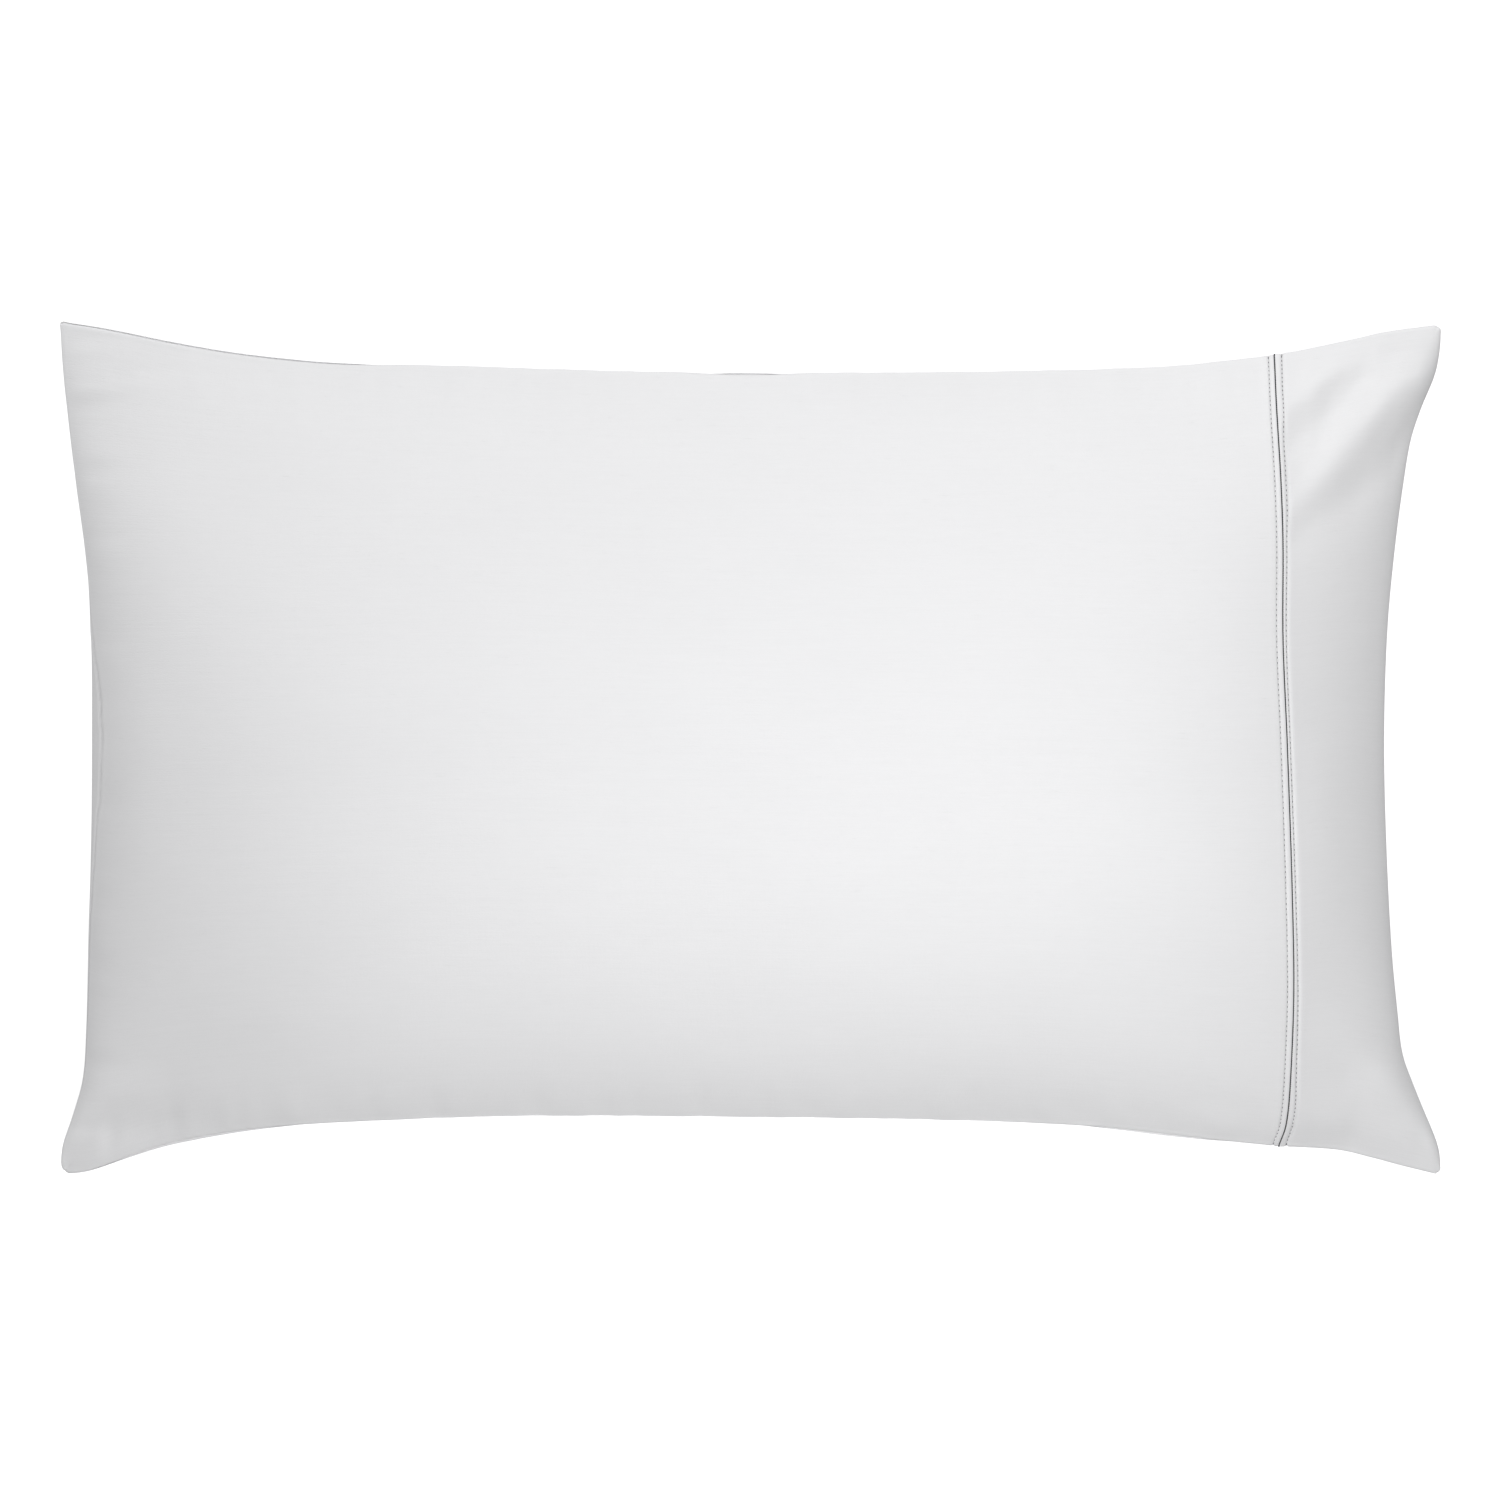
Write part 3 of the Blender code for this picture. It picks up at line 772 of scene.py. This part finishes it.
def along_line(points, normals, places):
    """Points, directions and normals at places along a closed line, given in metres."""
    closed = np.concatenate((points, points[:1]))
    closed_normals = np.concatenate((normals, normals[:1]))
    run = running_length(closed)

    def read(rows, wanted):
        return np.stack([np.interp(wanted % run[-1], run, column) for column in rows.T], axis=-1)

    at = read(closed, places)
    return at, unit(read(closed, places + LOOK_AHEAD) - at), unit(read(closed_normals, places))


def tubes(centres, across, out, radius):
    """Points of round tubes. The first axis is the tube, the second its rings; radius is for each ring."""
    turn = np.linspace(0, 2 * math.pi, TUBE_SIDES, endpoint=False)
    side = across[..., None, :] * np.cos(turn)[:, None]
    rise = out[..., None, :] * np.sin(turn)[:, None]
    return centres[..., None, :] + (side + rise) * radius[..., None, None]


Tubes = namedtuple("Tubes", "vertices faces run")


def short_tubes(line, normals, starts, share, length, lift, radius):
    """Closed short tubes along a line: one from each start, with a ring at each share of its length."""
    count, rings = len(starts), len(share)
    places = starts[:, None] + share[None, :] * length
    at, ahead, out = (part.reshape(count, rings, 3) for part in along_line(line, normals, places.ravel()))
    centres = at + out * lift[None, :, None]
    points = tubes(centres, np.cross(ahead, out), out, np.broadcast_to(radius, (count, rings)))
    index = np.arange(rings * TUBE_SIDES).reshape(rings, TUBE_SIDES)
    quads = grid_faces(index)
    faces = []
    for first in range(0, count * rings * TUBE_SIDES, rings * TUBE_SIDES):
        faces += (quads + first).tolist()
        faces.append((index[0] + first)[::-1].tolist())
        faces.append((index[-1] + first).tolist())
    run = np.broadcast_to(places[..., None], points.shape[:3])
    return Tubes(points.reshape(-1, 3), faces, run.ravel())


def joined_tubes(name, groups):
    """A mesh of groups of tubes, with the length along them as its map. Each group has its own finish."""
    vertices = np.concatenate([group.vertices for group in groups])
    run = np.concatenate([group.run for group in groups])
    faces, finish_of_face, first = [], [], 0
    for number, group in enumerate(groups):
        faces += [[corner + first for corner in face] for face in group.faces]
        finish_of_face += [number] * len(group.faces)
        first += len(group.vertices)
    mesh = bpy.data.meshes.new(name)
    mesh.from_pydata(vertices.tolist(), [], faces)
    mesh.polygons.foreach_set("material_index", finish_of_face)
    corner_vertex = np.empty(len(mesh.loops), np.int32)
    mesh.loops.foreach_get("vertex_index", corner_vertex)
    turn = (np.arange(len(vertices)) % TUBE_SIDES) / TUBE_SIDES
    values = np.stack((run[corner_vertex], turn[corner_vertex]), axis=-1).astype(np.float32)
    mesh.uv_layers.new(name=CLOTH_MAP).data.foreach_set("uv", values.ravel())
    mesh.shade_smooth()
    piece = bpy.data.objects.new(name, mesh)
    bpy.context.scene.collection.objects.link(piece)
    return piece


def stitch_row(row, cloth, settings):
    """A row of lockstitches round the pillow: short arches of thread, with a dark tube of painted shade in
    the needle hole between two.
    """
    line, normals = ring_along(cloth, row.distance)
    girth = running_length(np.concatenate((line, line[:1])))[-1]
    gap = settings.stitch_gap
    count = round(girth / (settings.stitch_length + gap))
    starts = np.arange(count) * girth / count
    length = girth / count - gap
    radius = settings.thread_diameter / 2

    share = np.linspace(0, 1, STITCH_RINGS)
    swell = np.sin(math.pi * share)
    lift = STITCH_BRIDGE * swell**STITCH_ARCH - radius * STITCH_SINK
    thickness = radius * mix(THREAD_END, 1, swell**THREAD_SWELL)
    thread = short_tubes(line, normals, starts, share, length, lift, thickness)

    # The dark tubes in the gaps are painted shade, standing in for the shadow in each needle hole.
    share = np.linspace(0, 1, HOLE_SHADE_RINGS)
    width = row.hole_diameter / 2 * mix(HOLE_SHADE_END, 1, np.sin(math.pi * share))
    holes = short_tubes(line, normals, starts + length, share, gap, np.zeros(HOLE_SHADE_RINGS), width)
    return joined_tubes(row.name, (thread, holes))


def twisted_cord(name, settings):
    """A two-ply cord, all the way round between the folded edges of body and cuff."""
    near, near_out = ring_along(body_cloth(), EDGE_LIP)
    far, far_out = ring_along(cuff_cloth(), EDGE_LIP)
    normals = unit(near_out + far_out)
    line = (near + far) / 2 - normals * CORD_SINK
    girth = running_length(np.concatenate((line, line[:1])))[-1]
    rings = round(girth / CORD_STEP)
    turns = round(girth / CORD_TWIST)
    places = np.arange(rings) * girth / rings
    at, ahead, out = along_line(line, normals, places)
    side = np.cross(ahead, out)
    radius = np.full(rings, settings.cord_diameter * PLY_RADIUS)
    index = np.arange(rings * TUBE_SIDES).reshape(rings, TUBE_SIDES)
    vertices, faces = [], []
    for ply in range(CORD_PLIES):
        turn = 2 * math.pi * (turns * places / girth + ply / CORD_PLIES)
        away = side * np.cos(turn)[:, None] + out * np.sin(turn)[:, None]
        centres = at + away * settings.cord_diameter * PLY_OFFSET
        vertices.append(tubes(centres, side, out, radius).reshape(-1, 3))
        faces += grid_faces(np.concatenate((index, index[:1])) + ply * index.size).tolist()
    run = np.tile(np.repeat(places, TUBE_SIDES), CORD_PLIES)
    return joined_tubes(name, (Tubes(np.concatenate(vertices), faces, run),))


# ---------------------------------------------------------------------------------------------------
# Finishes.

# Noise drawn out along the threads. Each row has the size of one streak, the noise's detail, the place
# in the noise that it is read from, and how much it adds to the cloth's tone and height.
Streak = namedtuple("Streak", "length width detail place tone height", defaults=(0.0, 0.0))
THREADS = Streak(0.0022, 0.00034, 1.0, 0.0, 0.35, 0.8)
STREAKS = (
    THREADS,
    Streak(0.014, 0.0008, 2.0, 3.1, 0.6, 0.55),  # short streaks
    Streak(0.075, 0.0019, 2.0, 7.7, 0.35, 0.5),  # long streaks
    Streak(0.0009, 0.012, 1.0, 5.3, 0.0, 0.25),  # the threads across
    Streak(0.09, 0.05, 2.0, 11.0, 0.45, 0.0),  # clouds
)
SLUBS = Streak(0.010, 0.0007, 1.0, 17.0, -0.35, 0.7)
SPECKS = Streak(0.0011, 0.0007, 0.0, 23.0, -0.5)
FUZZ = Streak(0.0006, 0.2, 2.0, 1.3)
STREAK_ROUGHNESS = 0.55
SLUB_RANGE = (0.70, 0.80)  # where the noise turns into slubs and into specks
SPECK_RANGE = (0.80, 0.86)
SPECK_SHARE = 0.08

BUMP_STRENGTH = 0.5
WEAVE_DEPTH = 0.0002
LEAST_ROUGHNESS = 0.44
ROUGHNESS_SPREAD = 0.16

Yarn = namedtuple("Yarn", "name fibre roughness depth")
CORD_YARN = Yarn("charcoal_yarn", 0.5, 0.8, 0.0001)
THREAD_YARN = Yarn("white_thread", 0.2, 0.5, 0.00004)
# A dark finish of painted shade for the needle holes, not a dark yarn.
HOLE_SHADE = Yarn("painted_needle_hole_shade", 0.2, 0.9, 0.00002)
FIBRE_TURNS = 900.0  # for each metre of yarn
FIBRES = 3
FIBRE_HEIGHT = 0.5


def add_node(tree, kind, inputs=None, **values):
    """A new node with its settings, and its inputs either set or joined to another node's output."""
    node = tree.nodes.new(kind)
    for name, value in values.items():
        setattr(node, name, value)
    for name, value in (inputs or {}).items():
        if isinstance(value, bpy.types.NodeSocket):
            tree.links.new(value, node.inputs[name])
        else:
            node.inputs[name].default_value = value
    return node


def math_node(tree, operation, first, second=0.0, third=0.0):
    values = {0: first, 1: second, 2: third}
    return add_node(tree, "ShaderNodeMath", values, operation=operation).outputs[0]


def vector_node(tree, operation, inputs):
    return add_node(tree, "ShaderNodeVectorMath", inputs, operation=operation).outputs[0]


def streaky_noise(tree, run, streak):
    stretched = vector_node(tree, "MULTIPLY", {0: run, 1: (1 / streak.length, 1 / streak.width, 1.0)})
    place = (streak.place, streak.place * 1.7, streak.place)
    shifted = vector_node(tree, "ADD", {0: stretched, 1: place})
    inputs = {"Vector": shifted, "Scale": 1.0, "Detail": streak.detail, "Roughness": STREAK_ROUGHNESS}
    return add_node(tree, "ShaderNodeTexNoise", inputs).outputs["Fac"]


def spots(tree, run, streak, limits):
    """Where the noise is high: 0 below the first limit, 1 above the second."""
    inputs = {"Value": streaky_noise(tree, run, streak), "From Min": limits[0], "From Max": limits[1]}
    return add_node(tree, "ShaderNodeMapRange", inputs).outputs["Result"]


def new_group(name, inputs, outputs):
    """An empty node group with its sockets, and the node that gives its inputs."""
    tree = bpy.data.node_groups.new(name, "ShaderNodeTree")
    for side, sockets in (("INPUT", inputs), ("OUTPUT", outputs)):
        for socket, kind in sockets.items():
            tree.interface.new_socket(socket, in_out=side, socket_type=f"NodeSocket{kind}")
    return tree, tree.nodes.new("NodeGroupInput")


@functools.lru_cache(maxsize=None)
def sateen_group():
    """Woven sateen: floating threads, long faint streaks, thicker slubs and tiny specks."""
    inputs = {"Run": "Vector", "Cloth Color": "Color", "Streaks": "Float", "Specks": "Float"}
    outputs = {"Color": "Color", "Roughness": "Float", "Height": "Float"}
    tree, given = new_group("sateen_weave", inputs, outputs)
    run = given.outputs["Run"]
    tone, height = 1.0, 0.0
    for streak in STREAKS:
        value = streaky_noise(tree, run, streak)
        off = math_node(tree, "SUBTRACT", value, 0.5)
        part = math_node(tree, "MULTIPLY", off, given.outputs["Streaks"])
        tone = math_node(tree, "MULTIPLY_ADD", part, streak.tone, tone)
        height = math_node(tree, "MULTIPLY_ADD", value, streak.height, height)
        if streak is THREADS:
            rough = math_node(tree, "MULTIPLY_ADD", value, ROUGHNESS_SPREAD, LEAST_ROUGHNESS)
    for streak, limits in ((SLUBS, SLUB_RANGE), (SPECKS, SPECK_RANGE)):
        mask = spots(tree, run, streak, limits)
        part = math_node(tree, "MULTIPLY", mask, given.outputs["Specks"])
        tone = math_node(tree, "MULTIPLY_ADD", part, streak.tone, tone)
        height = math_node(tree, "MULTIPLY_ADD", mask, streak.height, height)
    color = vector_node(tree, "SCALE", {0: given.outputs["Cloth Color"], "Scale": tone})
    add_node(tree, "NodeGroupOutput", {"Color": color, "Roughness": rough, "Height": height})
    return tree


@functools.lru_cache(maxsize=None)
def yarn_group():
    """Spun yarn: fibres that wind round it, with fuzz."""
    inputs = {"Run": "Vector", "Yarn Color": "Color", "Fibre": "Float"}
    tree, given = new_group("spun_yarn", inputs, {"Color": "Color", "Height": "Float"})
    run = given.outputs["Run"]
    parts = add_node(tree, "ShaderNodeSeparateXYZ", {0: run})
    wound = math_node(tree, "MULTIPLY_ADD", parts.outputs[0], FIBRE_TURNS, parts.outputs[1])
    fibres = math_node(tree, "SINE", math_node(tree, "MULTIPLY", wound, 2 * math.pi * FIBRES))
    fuzz = streaky_noise(tree, run, FUZZ)
    off = math_node(tree, "SUBTRACT", fuzz, 0.5)
    tone = math_node(tree, "MULTIPLY_ADD", off, given.outputs["Fibre"], 1.0)
    color = vector_node(tree, "SCALE", {0: given.outputs["Yarn Color"], "Scale": tone})
    height = math_node(tree, "MULTIPLY_ADD", fibres, FIBRE_HEIGHT, fuzz)
    add_node(tree, "NodeGroupOutput", {"Color": color, "Height": height})
    return tree


def new_finish(name, group, inputs, depth):
    """A material that reads a node group along the cloth or the yarn, and its shader."""
    material = bpy.data.materials.new(name)
    material.use_nodes = True
    tree = material.node_tree
    shader = tree.nodes["Principled BSDF"]
    run = add_node(tree, "ShaderNodeUVMap", uv_map=CLOTH_MAP).outputs[0]
    pattern = add_node(tree, "ShaderNodeGroup", node_tree=group)
    tree.links.new(run, pattern.inputs["Run"])
    for socket, value in inputs.items():
        pattern.inputs[socket].default_value = value
    raised = {"Height": pattern.outputs["Height"], "Strength": BUMP_STRENGTH, "Distance": depth}
    bump = add_node(tree, "ShaderNodeBump", raised)
    tree.links.new(pattern.outputs["Color"], shader.inputs["Base Color"])
    tree.links.new(bump.outputs[0], shader.inputs["Normal"])
    if "Roughness" in pattern.outputs:
        tree.links.new(pattern.outputs["Roughness"], shader.inputs["Roughness"])
    return material, shader


def sateen(name, color, streaks):
    inputs = {"Cloth Color": (*color, 1.0), "Streaks": streaks, "Specks": SPECK_SHARE}
    material, shader = new_finish(name, sateen_group(), inputs, WEAVE_DEPTH)
    shader.inputs["Sheen Weight"].default_value = 0.12
    shader.inputs["Sheen Roughness"].default_value = 0.45
    shader.inputs["Specular IOR Level"].default_value = 0.35
    return material


def yarn(kind, color):
    inputs = {"Yarn Color": (*color, 1.0), "Fibre": kind.fibre}
    material, shader = new_finish(kind.name, yarn_group(), inputs, kind.depth)
    shader.inputs["Roughness"].default_value = kind.roughness
    shader.inputs["Specular IOR Level"].default_value = 0.3
    return material


# ---------------------------------------------------------------------------------------------------
# What a user can change.


def slot_color(slot):
    """A finish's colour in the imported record."""
    return next(m["base_color"] for m in frame["record"]["materials"] if m["slot"] == slot)


class ClothSettings(PropertyGroup):
    """The white cloth of body and cuff."""

    body_color: FloatVectorProperty(
        name="Body colour", description="Colour of the body's cloth", subtype="COLOR", size=3,
        min=0.0, max=1.0, default=slot_color("case_cloth"),
    )
    cuff_color: FloatVectorProperty(
        name="Cuff colour", description="Colour of the cuff's cloth", subtype="COLOR", size=3,
        min=0.0, max=1.0, default=slot_color("cuff_cloth"),
    )
    streaks: FloatProperty(
        name="Streaks", description="How much the threads differ in tone", min=0.0, max=1.0, default=0.06,
        subtype="FACTOR",
    )


class SewingSettings(PropertyGroup):
    """The cord and the stitches beside it."""

    stitch_length: FloatProperty(
        name="Stitch length", description="Length of thread that shows", default=0.0019, unit="LENGTH",
        precision=4,
    )
    stitch_gap: FloatProperty(
        name="Stitch gap", description="Gap between two stitches", default=0.0011, unit="LENGTH",
        precision=4,
    )
    thread_diameter: FloatProperty(
        name="Thread diameter", description="Diameter of the sewing thread", default=0.00044,
        unit="LENGTH", precision=5,
    )
    thread_color: FloatVectorProperty(
        name="Thread colour", description="Colour of the sewing thread", subtype="COLOR", size=3,
        min=0.0, max=1.0, default=(0.80, 0.80, 0.80),
    )
    # Painted shade: the dark colour of the tubes that stand in for the shadow in the needle holes.
    hole_shade_color: FloatVectorProperty(
        name="Needle hole colour", description="Colour of the shade in the needle holes", subtype="COLOR",
        size=3, min=0.0, max=1.0, default=(0.10, 0.10, 0.11),
    )
    cord_diameter: FloatProperty(
        name="Cord diameter", description="Diameter of the dark cord", default=0.00095, unit="LENGTH",
        precision=5,
    )
    cord_color: FloatVectorProperty(
        name="Cord colour", description="Colour of the dark cord", subtype="COLOR", size=3,
        min=0.0, max=1.0, default=slot_color("cord_yarn"),
    )


class StudioSettings(PropertyGroup):
    """Floor, light and camera."""

    floor_color: FloatVectorProperty(
        name="Floor colour", description="Colour of the floor", subtype="COLOR", size=3,
        min=0.0, max=1.0, default=(0.93, 0.93, 0.93),
    )
    lamp_strength: FloatProperty(
        name="Lamps", description="Brightness of all the lamps together", min=0.0, default=1.0,
    )
    fill_strength: FloatProperty(
        name="Fill light", description="Brightness of the even light from all round", min=0.0, default=0.30,
    )
    camera_height: FloatProperty(
        name="Camera height", description="Camera above the sewn edge", default=3.2, unit="LENGTH",
    )


# ---------------------------------------------------------------------------------------------------
# Operators.

PICTURE_WIDTH = 0.855  # what the picture spans at the height of the sewn edge
PICTURE_MIDDLE = (-0.00014, -0.00041)
SENSOR = 36.0
FLOOR_SIZE = 30.0
FLOOR_DROP = 0.0005  # keeps it clear of the pillow's flat back
FLOOR_GLOW = 0.65  # keeps the floor white right up to the pillow

# Round soft lamps, all turned to the middle of the pillow.
Lamp = namedtuple("Lamp", "name x y z size watts")
LAMPS = (
    Lamp("above_bottom", 0.0, -0.5, 1.0, 0.6, 4.57),
    Lamp("above_cuff", 0.35, 0.0, 1.0, 0.6, 2.04),
    Lamp("top_side", 0.0, 2.4, 0.5, 0.8, 10.9),
    Lamp("top_cuff", 1.2, 2.08, 0.8, 0.8, 16.4),
    Lamp("top_foot", -2.08, 1.2, 0.5, 0.8, 17.2),
    Lamp("bottom_cuff", 1.2, -2.08, 0.5, 0.8, 3.41),
)


def add_lamp(scene, lamp, strength):
    light = bpy.data.lights.new(lamp.name, "AREA")
    light.shape = "DISK"
    light.size = lamp.size
    light.energy = lamp.watts * strength
    place = Vector((lamp.x, lamp.y, lamp.z))
    piece = bpy.data.objects.new(lamp.name, light)
    piece.location = place
    piece.rotation_euler = (-place).to_track_quat("-Z", "Y").to_euler()
    piece.visible_camera = False
    scene.collection.objects.link(piece)


def studio_world(fill_strength):
    """Even light from all round. To the camera it is plain white, as the floor is."""
    world = bpy.data.worlds.new("studio")
    world.use_nodes = True
    tree = world.node_tree
    background = tree.nodes["Background"]
    background.inputs["Color"].default_value = (1.0, 1.0, 1.0, 1.0)
    seen = add_node(tree, "ShaderNodeLightPath").outputs["Is Camera Ray"]
    inputs = {"Value": seen, "To Min": fill_strength, "To Max": 1.0}
    strength = add_node(tree, "ShaderNodeMapRange", inputs).outputs["Result"]
    tree.links.new(strength, background.inputs["Strength"])
    return world


class PILLOWCASE_OT_stage(Operator):
    """Set the floor, the soft light and the camera"""

    bl_idname = "pillowcase.stage"
    bl_label = "Stage"

    def execute(self, context):
        studio = context.scene.pillowcase_studio
        half = FLOOR_SIZE / 2
        mesh = bpy.data.meshes.new("floor")
        corners = [(-half, -half, 0), (half, -half, 0), (half, half, 0), (-half, half, 0)]
        mesh.from_pydata(corners, [], [(0, 1, 2, 3)])
        floor = bpy.data.objects.new("floor", mesh)
        floor.location.z = -FLOOR_DROP
        context.scene.collection.objects.link(floor)
        material = bpy.data.materials.new("pale_floor")
        material.use_nodes = True
        shader = material.node_tree.nodes["Principled BSDF"]
        shader.inputs["Base Color"].default_value = (*studio.floor_color, 1.0)
        shader.inputs["Roughness"].default_value = 0.9
        shader.inputs["Specular IOR Level"].default_value = 0.0
        shader.inputs["Emission Color"].default_value = (1.0, 1.0, 1.0, 1.0)
        shader.inputs["Emission Strength"].default_value = FLOOR_GLOW
        mesh.materials.append(material)
        floor.visible_diffuse = False
        floor.visible_glossy = False

        context.scene.world = studio_world(studio.fill_strength)
        for lamp in LAMPS:
            add_lamp(context.scene, lamp, studio.lamp_strength)

        camera_data = bpy.data.cameras.new("camera")
        camera_data.sensor_width = SENSOR
        camera_data.lens = SENSOR * studio.camera_height / PICTURE_WIDTH
        camera = bpy.data.objects.new("camera", camera_data)
        camera.location = (*PICTURE_MIDDLE, SEAM_HEIGHT + studio.camera_height)
        context.scene.collection.objects.link(camera)
        context.scene.camera = camera
        context.scene.view_settings.view_transform = "Standard"
        return {"FINISHED"}


class PILLOWCASE_OT_body(Operator):
    """Make the body's cloth over its filling"""

    bl_idname = "pillowcase.body"
    bl_label = "Body"

    def execute(self, context):
        settings = context.scene.pillowcase_cloth
        piece = cloth_object("body_cloth", body_cloth(), True)
        piece.data.materials.append(sateen("white_sateen", settings.body_color, settings.streaks))
        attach(piece, "root")
        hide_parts("pillow_body")
        return {"FINISHED"}


class PILLOWCASE_OT_cuff(Operator):
    """Make the cuff's cloth"""

    bl_idname = "pillowcase.cuff"
    bl_label = "Cuff"

    def execute(self, context):
        settings = context.scene.pillowcase_cloth
        piece = cloth_object("cuff_cloth", cuff_cloth(), False)
        piece.data.materials.append(sateen("white_sateen_cuff", settings.cuff_color, settings.streaks))
        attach(piece, "root")
        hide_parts("cuff")
        return {"FINISHED"}


class PILLOWCASE_OT_cord(Operator):
    """Lay the dark cord in the seam"""

    bl_idname = "pillowcase.cord"
    bl_label = "Cord"

    def execute(self, context):
        settings = context.scene.pillowcase_sewing
        piece = twisted_cord("seam_cord", settings)
        piece.data.materials.append(yarn(CORD_YARN, settings.cord_color))
        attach(piece, "root")
        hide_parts("trim_cord")
        return {"FINISHED"}


class PILLOWCASE_OT_stitches(Operator):
    """Sew a row of stitches on each side of the cord"""

    bl_idname = "pillowcase.stitches"
    bl_label = "Stitches"

    def execute(self, context):
        settings = context.scene.pillowcase_sewing
        thread = yarn(THREAD_YARN, settings.thread_color)
        # The needle holes' finish is painted shade: dark tubes where there is only shadow.
        hole = yarn(HOLE_SHADE, settings.hole_shade_color)
        rows = ((BODY_ROW, body_cloth(), "case_cloth"), (CUFF_ROW, cuff_cloth(), "cuff_cloth"))
        for row, cloth, slot in rows:
            piece = stitch_row(row, cloth, settings)
            piece.data.materials.append(thread)
            piece.data.materials.append(hole)
            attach(piece, "root")
        return {"FINISHED"}


OPERATORS = (
    PILLOWCASE_OT_stage, PILLOWCASE_OT_body, PILLOWCASE_OT_cuff, PILLOWCASE_OT_cord,
    PILLOWCASE_OT_stitches,
)


class PILLOWCASE_PT_panel(Panel):
    """The pillowcase's pieces and settings"""

    bl_label = "Pillowcase"
    bl_space_type = "VIEW_3D"
    bl_region_type = "UI"
    bl_category = "Pillowcase"

    def draw(self, context):
        for group in ("pillowcase_cloth", "pillowcase_sewing", "pillowcase_studio"):
            settings = getattr(context.scene, group)
            box = self.layout.box()
            for name in settings.__annotations__:
                box.prop(settings, name)
        for operator in OPERATORS:
            self.layout.operator(operator.bl_idname)


CLASSES = (ClothSettings, SewingSettings, StudioSettings, *OPERATORS, PILLOWCASE_PT_panel)


def register():
    for cls in CLASSES:
        bpy.utils.register_class(cls)
    bpy.types.Scene.pillowcase_cloth = PointerProperty(type=ClothSettings)
    bpy.types.Scene.pillowcase_sewing = PointerProperty(type=SewingSettings)
    bpy.types.Scene.pillowcase_studio = PointerProperty(type=StudioSettings)


def unregister():
    del bpy.types.Scene.pillowcase_studio
    del bpy.types.Scene.pillowcase_sewing
    del bpy.types.Scene.pillowcase_cloth
    for cls in reversed(CLASSES):
        bpy.utils.unregister_class(cls)


def main():
    register()
    bpy.ops.pillowcase.stage()
    bpy.ops.pillowcase.body()
    bpy.ops.pillowcase.cuff()
    bpy.ops.pillowcase.cord()
    bpy.ops.pillowcase.stitches()
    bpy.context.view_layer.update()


if __name__ == "__main__":
    main()
